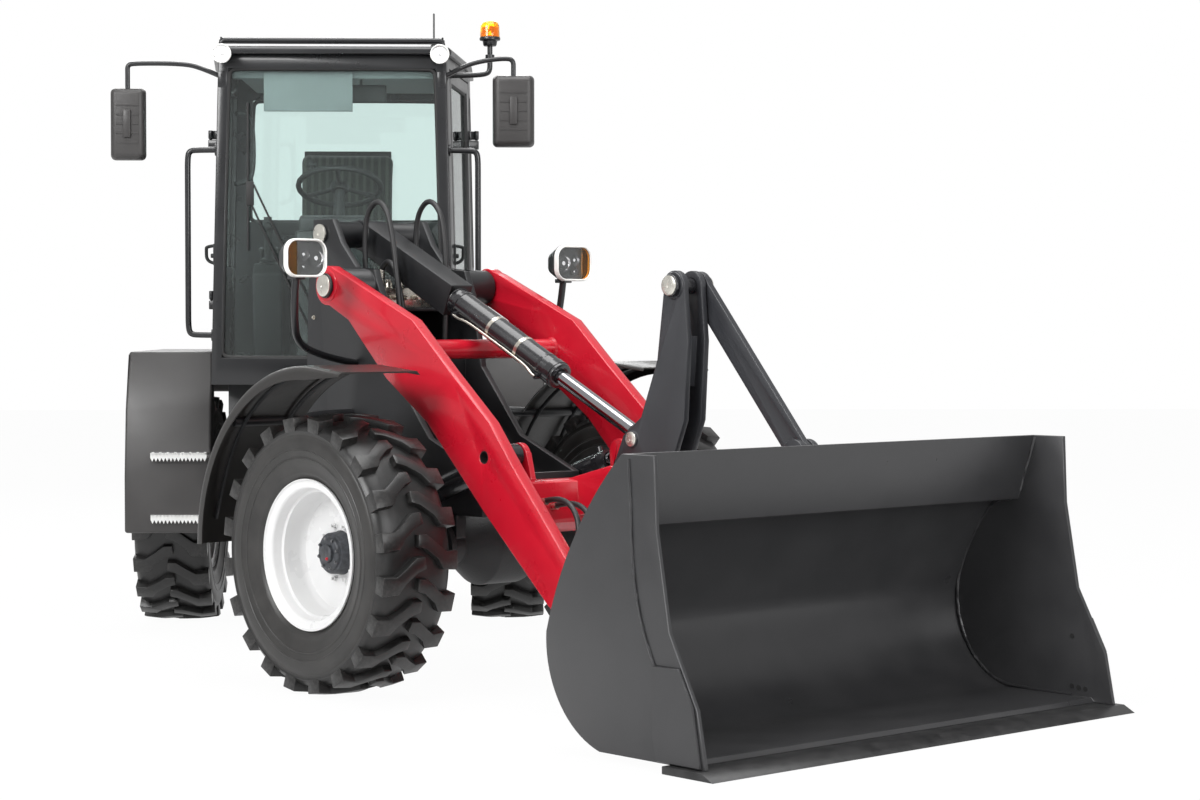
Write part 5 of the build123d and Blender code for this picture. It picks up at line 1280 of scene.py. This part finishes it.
for side, label in ((-1, "right"), (1, "left")):
    middle = side * headlamp["y"]
    # dark shell that narrows to the back, with a bezel
    bm = bmesh.new()
    shell = lampShape(bm, middle, 0.0, 0.702, headlamp["front"] - 0.022)
    for v in shell:
        if v.co.x < 0.71:
            v.co.y = middle + (v.co.y - middle) * 0.62
            v.co.z = headlamp["z"] + (v.co.z - headlamp["z"]) * 0.62
    roundEdges(bm, shell, 0.006, 2, sharper=40)
    finishPiece(bm, "headlamp_shell_" + label, "front_half", "interior", frontHalf,
                instead=("headlamps",) if side < 0 else ())
    bm = bmesh.new()
    outline = lampOutline(0.0)
    inner = lampOutline(0.009)
    rings = []
    for points, depth in ((outline, -0.022), (outline, -0.006), (lampOutline(0.003), 0.0),
                          (lampOutline(0.006), 0.0), (inner, -0.004), (inner, -0.020)):
        rings.append([bm.verts.new((headlamp["front"] + depth, middle + y, headlamp["z"] + z)) for y, z in points])
    for first, second in zip(rings, rings[1:]):
        for k in range(len(first)):
            bm.faces.new((first[k], first[k - 1], second[k - 1], second[k]))
    finishPiece(bm, "headlamp_bezel_" + label, "front_half", "lampWhite", frontHalf)
    # reflector with two bowls, a bulb shade in each, behind a clear lens; the outer end is amber
    bm = bmesh.new()
    split = side * 0.045
    clear = {"left": split} if side < 0 else {"right": split}
    amber = {"right": split} if side < 0 else {"left": split}
    lampShape(bm, middle, 0.009, headlamp["front"] - 0.046, headlamp["front"] - 0.034)
    for across, tall, radius in ((-side * 0.050, 0.0, 0.036), (side * 0.008, 0.014, 0.026),
                                 (side * 0.008, -0.034, 0.016)):
        bowl = [(radius, -0.012), (radius * 0.92, -0.020), (radius * 0.7, -0.030), (radius * 0.4, -0.0345),
                (0.0, -0.0350)]
        addTurned(bm, bowl, (headlamp["front"], middle + across, headlamp["z"] + tall), "x", 32)
        cap = [(0.0, -0.014), (radius * 0.24, -0.015), (radius * 0.28, -0.024), (radius * 0.28, -0.033)]
        addTurned(bm, cap, (headlamp["front"], middle + across, headlamp["z"] + tall), "x", 20)
    finishPiece(bm, "headlamp_reflector_" + label, "front_half", "reflector", frontHalf)
    bm = bmesh.new()
    lampShape(bm, middle, 0.0095, headlamp["front"] - 0.007, headlamp["front"] - 0.003, **clear)
    finishPiece(bm, "headlamp_lens_" + label, "front_half", "clearLens", frontHalf)
    bm = bmesh.new()
    lampShape(bm, middle, 0.0095, headlamp["front"] - 0.010, headlamp["front"] - 0.003, **amber)
    finishPiece(bm, "headlamp_indicator_" + label, "front_half", "amberLens", frontHalf)
    # bent tube from the tower to the lamp, with its yoke
    bm = bmesh.new()
    addTube(bm, [(0.530, side * 0.242, 1.215), (0.545, side * 0.350, 1.232), (0.575, side * 0.450, 1.252),
                 (0.640, side * 0.575, 1.280), (0.690, side * 0.650, 1.320), (0.712, side * 0.672, 1.400),
                 (0.724, side * 0.680, 1.490), (0.735, side * 0.680, 1.560)],
            0.0145, steps=16, smooth=8)
    yoke = addBlock(bm, (0.705, middle - 0.022, 1.545), (0.765, middle + 0.022, 1.562))
    roundEdges(bm, yoke, 0.003, 2)
    finishPiece(bm, "headlamp_arm_" + label, "front_half", "cabPaint", frontHalf)
print("headlamps done")

roundedNode("valve_block", "front_half", "zinc", width=0.003)
bm = bmesh.new()
for x, y in ((0.420, -0.110), (0.480, -0.078), (0.480, 0.110), (0.420, 0.0), (0.420, 0.060)):
    addHexHead(bm, (x, y, 1.519), (0, 0, 1), 0.023, 0.018)
    addBar(bm, (x, y, 1.536), (x, y, 1.556), 0.0125, 0.0115, steps=16)
for y in (-0.105, -0.055, 0.0, 0.055, 0.110):
    addHexHead(bm, (0.519, y, 1.480), (1, 0, 0), 0.017, 0.022)
    addBar(bm, (0.540, y, 1.480), (0.556, y, 1.480), 0.008, steps=12)
finishPiece(bm, "valve_fittings", "front_half", "zinc", frontHalf)

# (y, centreline points as (x, z)) of the hoses from the valves down the front of the tower
hoseRoutes = [
    (-0.110, [(0.420, 1.520), (0.390, 1.780), (0.500, 1.900), (0.610, 1.760), (0.650, 1.290)]),
    (0.110, [(0.480, 1.520), (0.440, 1.780), (0.560, 1.910), (0.680, 1.750), (0.650, 1.290)]),
    (-0.078, [(0.480, 1.520), (0.470, 1.600), (0.540, 1.640), (0.600, 1.540), (0.650, 1.290)]),
]


# Length of the smooth line that a hose's points give, a run of arcs between the middles of its spans.
def splineLength(points):
    total, last = 0.0, None
    count = len(points)
    samples = 40
    for span in range(count - 2):
        for step in range(samples + 1):
            t = step / samples
            a = (points[span] + points[span + 1]) / 2 if span else points[0]
            c = (points[span + 1] + points[span + 2]) / 2 if span < count - 3 else points[-1]
            spot = a * (1 - t) ** 2 + points[span + 1] * 2 * t * (1 - t) + c * t ** 2
            if last is not None:
                total += (spot - last).length
            last = spot
    return total


def addHose(name, body, points, radius, instead=()):
    spots = [frontHalf @ Vector(p) for p in points]
    line = bpy.data.curves.new(name, "CURVE")
    line.dimensions = "3D"
    line.resolution_u = 16
    line.bevel_depth = radius
    line.bevel_resolution = 4
    line.use_fill_caps = True
    spline = line.splines.new("NURBS")
    spline.points.add(len(spots) - 1)
    for point, spot in zip(spline.points, spots):
        point.co = (*spot, 1)
    spline.order_u = 3
    spline.use_endpoint_u = True
    piece = bpy.data.objects.new(name, line)
    bpy.context.scene.collection.objects.link(piece)
    line.materials.append(looks["hose"][1])
    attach(piece, body)
    round(splineLength(spots), 3)
    if instead:
        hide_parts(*instead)
    return piece


for number, (across, route) in enumerate(hoseRoutes):
    start, end = route[0], route[-1]
    points = [(start[0], across, 1.548)] + [(x, across, z) for x, z in route[1:-1]] + [(end[0] + 0.004, across, 1.305)]
    addHose("hose_%d" % (number + 1), "front_half", points, 0.011, instead=("hydraulic_hoses",) if number == 0 else ())
    print("hose", number + 1, "length", round(splineLength([Vector(p) for p in points]), 3))
bm = bmesh.new()
for across, route in hoseRoutes:
    for spot, way in (((route[0][0], across, 1.546), 1), ((0.654, across, 1.298), -1)):
        addHexHead(bm, spot, (0, 0, way), 0.017, 0.014)
        addBar(bm, Vector(spot) + Vector((0, 0, way * 0.014)), Vector(spot) + Vector((0, 0, way * 0.050)),
               0.0135, 0.0125, steps=20)
finishPiece(bm, "hose_ferrules", "front_half", "zinc", frontHalf)
# two hoses that loop ahead of the torsion box
armHoses = [
    ("arm_hose_1", "boom", [(1.700, -0.270, 0.720), (1.780, -0.270, 0.740), (1.870, -0.275, 0.725),
                            (1.930, -0.285, 0.660), (1.935, -0.300, 0.580), (1.890, -0.325, 0.525),
                            (1.835, -0.350, 0.525), (1.800, -0.376, 0.550)]),
    ("arm_hose_2", "boom", [(1.700, -0.220, 0.700), (1.800, -0.220, 0.725), (1.900, -0.225, 0.705),
                            (1.975, -0.240, 0.620), (1.985, -0.265, 0.520), (1.945, -0.300, 0.455),
                            (1.890, -0.345, 0.450), (1.860, -0.376, 0.480)]),
]
for name, body, points in armHoses:
    addHose(name, body, points, 0.0105)
    print(name, "length", round(splineLength([Vector(p) for p in points]), 3))
bm = bmesh.new()
for name, body, points in armHoses:
    first, last = Vector(points[0]), Vector(points[-1])
    addBar(bm, first + Vector((-0.012, 0, 0)), first + Vector((0.034, 0, 0.004)), 0.0135, 0.0125, steps=20)
    addBar(bm, last + Vector((-0.006, -0.006, 0.006)), last + Vector((0.024, 0.022, -0.020)), 0.0135, 0.0125,
           steps=20)
finishPiece(bm, "arm_hose_ferrules", "boom", "zinc", frontHalf)
print("hoses done")

roundedNode("front_frame", "front_half", "chassisBlack", width=0.003, sharper=28)
roundedNode("rear_frame", "root", "chassisBlack", width=0.003, sharper=28)
roundedNode("front_axle", "front_half", "castIron", width=0.006, segments=3, sharper=28, smooth=50)
roundedNode("rear_axle", "root", "castIron", width=0.006, segments=3, sharper=28, smooth=50)
roundedNode("driveline", "root", "castIron", width=0.005, sharper=28)
roundedNode("engine_block", "root", "castIron", width=0.008, sharper=28)
# bolts round the differentials and at the axle pads, and the wheel-end flange bolts
for half, wheelX, body, label in ((frontHalf, machine["halfWheelbase"], "front_half", "front"),
                                  (rearHalf, -machine["halfWheelbase"], "root", "rear")):
    bm = bmesh.new()
    for side in (-1, 1):
        for k in range(12):
            angle = 2 * math.pi * k / 12
            addHexHead(bm, (wheelX + 0.128 * math.cos(angle), side * 0.6488, axleZ + 0.128 * math.sin(angle)),
                       (0, side, 0), 0.010)
        addTurned(bm, [(0.079, side * 0.262), (0.095, side * 0.262), (0.098, side * 0.266), (0.098, side * 0.286),
                       (0.079, side * 0.290)],
                  (wheelX, 0, axleZ), "y", 40, closed=True)
        for k in range(8):
            angle = 2 * math.pi * (k + 0.5) / 8
            addHexHead(bm, (wheelX + 0.0885 * math.cos(angle), side * 0.2855, axleZ + 0.0885 * math.sin(angle)),
                       (0, side, 0), 0.0075)
    finishPiece(bm, "axle_bolts_" + label, body, "castIron", half)
# tower details: plate bolts, lock bolts and the steel lines down its front
bm = bmesh.new()
for side in (-1, 1):
    for x, z in ((0.240, 0.900), (0.240, 1.150), (0.240, 1.400)):
        addHexHead(bm, (x, side * 0.2445, z), (0, side, 0), 0.012)
    for x in (1.040, 1.085, 1.115, 1.160):
        addHexHead(bm, (x, side * 0.2445, 0.585), (0, side, 0), 0.013)
for across in (-0.110, -0.078, 0.110):
    addTube(bm, [(0.654, across, 1.300), (0.667, across, 1.280), (0.668, across, 1.200), (0.666, across, 1.130)], 0.007)
finishPiece(bm, "tower_bolts_and_lines", "front_half", "zinc", frontHalf)

roundedNode("hood", "hood", "redPaint", width=0.010, segments=4, sharper=25, smooth=60)
roundedNode("hood_grille", "hood", "chassisBlack", width=0.0025, segments=2)
roundedNode("counterweight", "root", "castIron", width=0.014, segments=4, sharper=25, smooth=60)
bm = bmesh.new()
for side in (-1, 1):
    for x in (-1.720, -2.180):
        latch = addBlock(bm, (x - 0.020, side * 0.499 - 0.003, 1.100), (x + 0.020, side * 0.499 + 0.003, 1.155))
        roundEdges(bm, latch, 0.002, 1)
        addTurned(bm, [(0.0, side * 0.006), (0.008, side * 0.006), (0.009, 0.0), (0.0, 0.0)], (x, side * 0.5015, 1.128),
                  "y", 16)
frameRail = [(-0.336, 1.114), (0.336, 1.114), (0.336, 1.566), (-0.336, 1.566)]
addTube(bm, sealLine([(rear["end"] + 0.026 + 0.034 * (z - 1.06) / 0.59, y, z) for y, z in frameRail], 0.03),
        0.008, closed=True)
finishPiece(bm, "hood_fittings", "hood", "seal", rearHalf)
print("body done")

# the studio: a pale floor, soft light and the camera
studio = {"floor": 60, "floorShine": 0.6, "floorWhite": 0.97, "wallShine": 0.45, "wallWhite": 1.0, "ambient": 0.30}
bm = bmesh.new()
bmesh.ops.create_grid(bm, x_segments=2, y_segments=2, size=studio["floor"] / 2)
floorMesh = bpy.data.meshes.new("floor")
bm.to_mesh(floorMesh)
bm.free()
floor = bpy.data.objects.new("floor", floorMesh)
floor.location.z = -0.001
bpy.context.scene.collection.objects.link(floor)


# White to the camera, to reflections and through glass, and a plain matt surface for the light itself.
def showWhite(tree, surface, strength, whiteness):
    rays = tree.nodes.new("ShaderNodeLightPath")
    seen = addMath(tree, "MAXIMUM", rays.outputs["Is Camera Ray"], rays.outputs["Is Transmission Ray"])
    shine = addMath(tree, "MAXIMUM", seen, addMath(tree, "MULTIPLY", rays.outputs["Is Glossy Ray"], strength))
    amount = addMath(tree, "MULTIPLY", shine, whiteness)
    mix = tree.nodes.new("ShaderNodeMixShader")
    tree.links.new(amount, mix.inputs[0])
    tree.links.new(surface, mix.inputs[1])
    return mix


floorLook = bpy.data.materials.new("floorLook")
floorLook.use_nodes = True
tree = floorLook.node_tree
tree.nodes["Principled BSDF"].inputs["Base Color"].default_value = (0.86, 0.86, 0.86, 1)
tree.nodes["Principled BSDF"].inputs["Roughness"].default_value = 0.9
mix = showWhite(tree, tree.nodes["Principled BSDF"].outputs[0], studio["floorShine"], studio["floorWhite"])
glow = tree.nodes.new("ShaderNodeEmission")
tree.links.new(glow.outputs[0], mix.inputs[2])
tree.links.new(mix.outputs[0], tree.nodes["Material Output"].inputs["Surface"])
floorMesh.materials.append(floorLook)

world = bpy.data.worlds.new("studio")
bpy.context.scene.world = world
world.use_nodes = True
tree = world.node_tree
ambient = tree.nodes["Background"]
ambient.inputs["Color"].default_value = (1, 1, 1, 1)
ambient.inputs["Strength"].default_value = studio["ambient"]
white = tree.nodes.new("ShaderNodeBackground")
white.inputs["Color"].default_value = (1, 1, 1, 1)
white.inputs["Strength"].default_value = 1.0
mix = showWhite(tree, ambient.outputs[0], studio["wallShine"], studio["wallWhite"])
tree.links.new(white.outputs[0], mix.inputs[2])
tree.links.new(mix.outputs[0], tree.nodes["World Output"].inputs["Surface"])

# soft boxes: (name, where, aimed at, width, height, watts)
softBoxes = [
    ("keySoftbox", (7.5, -6.5, 6.5), (0.3, 0.2, 0.8), 5.0, 4.0, 900),
    ("fillSoftbox", (8.5, 6.0, 4.0), (0.8, 0.6, 0.9), 5.0, 4.0, 450),
    ("topSoftbox", (1.0, 0.0, 8.0), (0.5, 0.0, 0.5), 6.0, 6.0, 520),
    ("backSoftbox", (-8.0, -2.0, 6.0), (-1.0, 0.0, 1.0), 5.0, 4.0, 350),
]
for name, where, aim, wide, tall, watts in softBoxes:
    light = bpy.data.lights.new(name, "AREA")
    light.shape = "RECTANGLE"
    light.size, light.size_y, light.energy = wide, tall, watts
    lamp = bpy.data.objects.new(name, light)
    turned = (Vector(aim) - Vector(where)).to_track_quat("-Z", "Y").to_matrix().to_4x4()
    lamp.matrix_world = Matrix.Translation(where) @ turned
    bpy.context.scene.collection.objects.link(lamp)

shot = {"from": (10.4625, -0.2172, 1.381), "pitch": -1.742, "heading": 178.107, "lens": 76.84}
cameraData = bpy.data.cameras.new("camera")
cameraData.sensor_width = 36
cameraData.lens = shot["lens"]
camera = bpy.data.objects.new("camera", cameraData)
camera.location = shot["from"]
camera.rotation_euler = (math.radians(90 + shot["pitch"]), 0, math.radians(shot["heading"] - 90))
bpy.context.scene.collection.objects.link(camera)
bpy.context.scene.camera = camera
bpy.context.scene.view_settings.view_transform = "Standard"
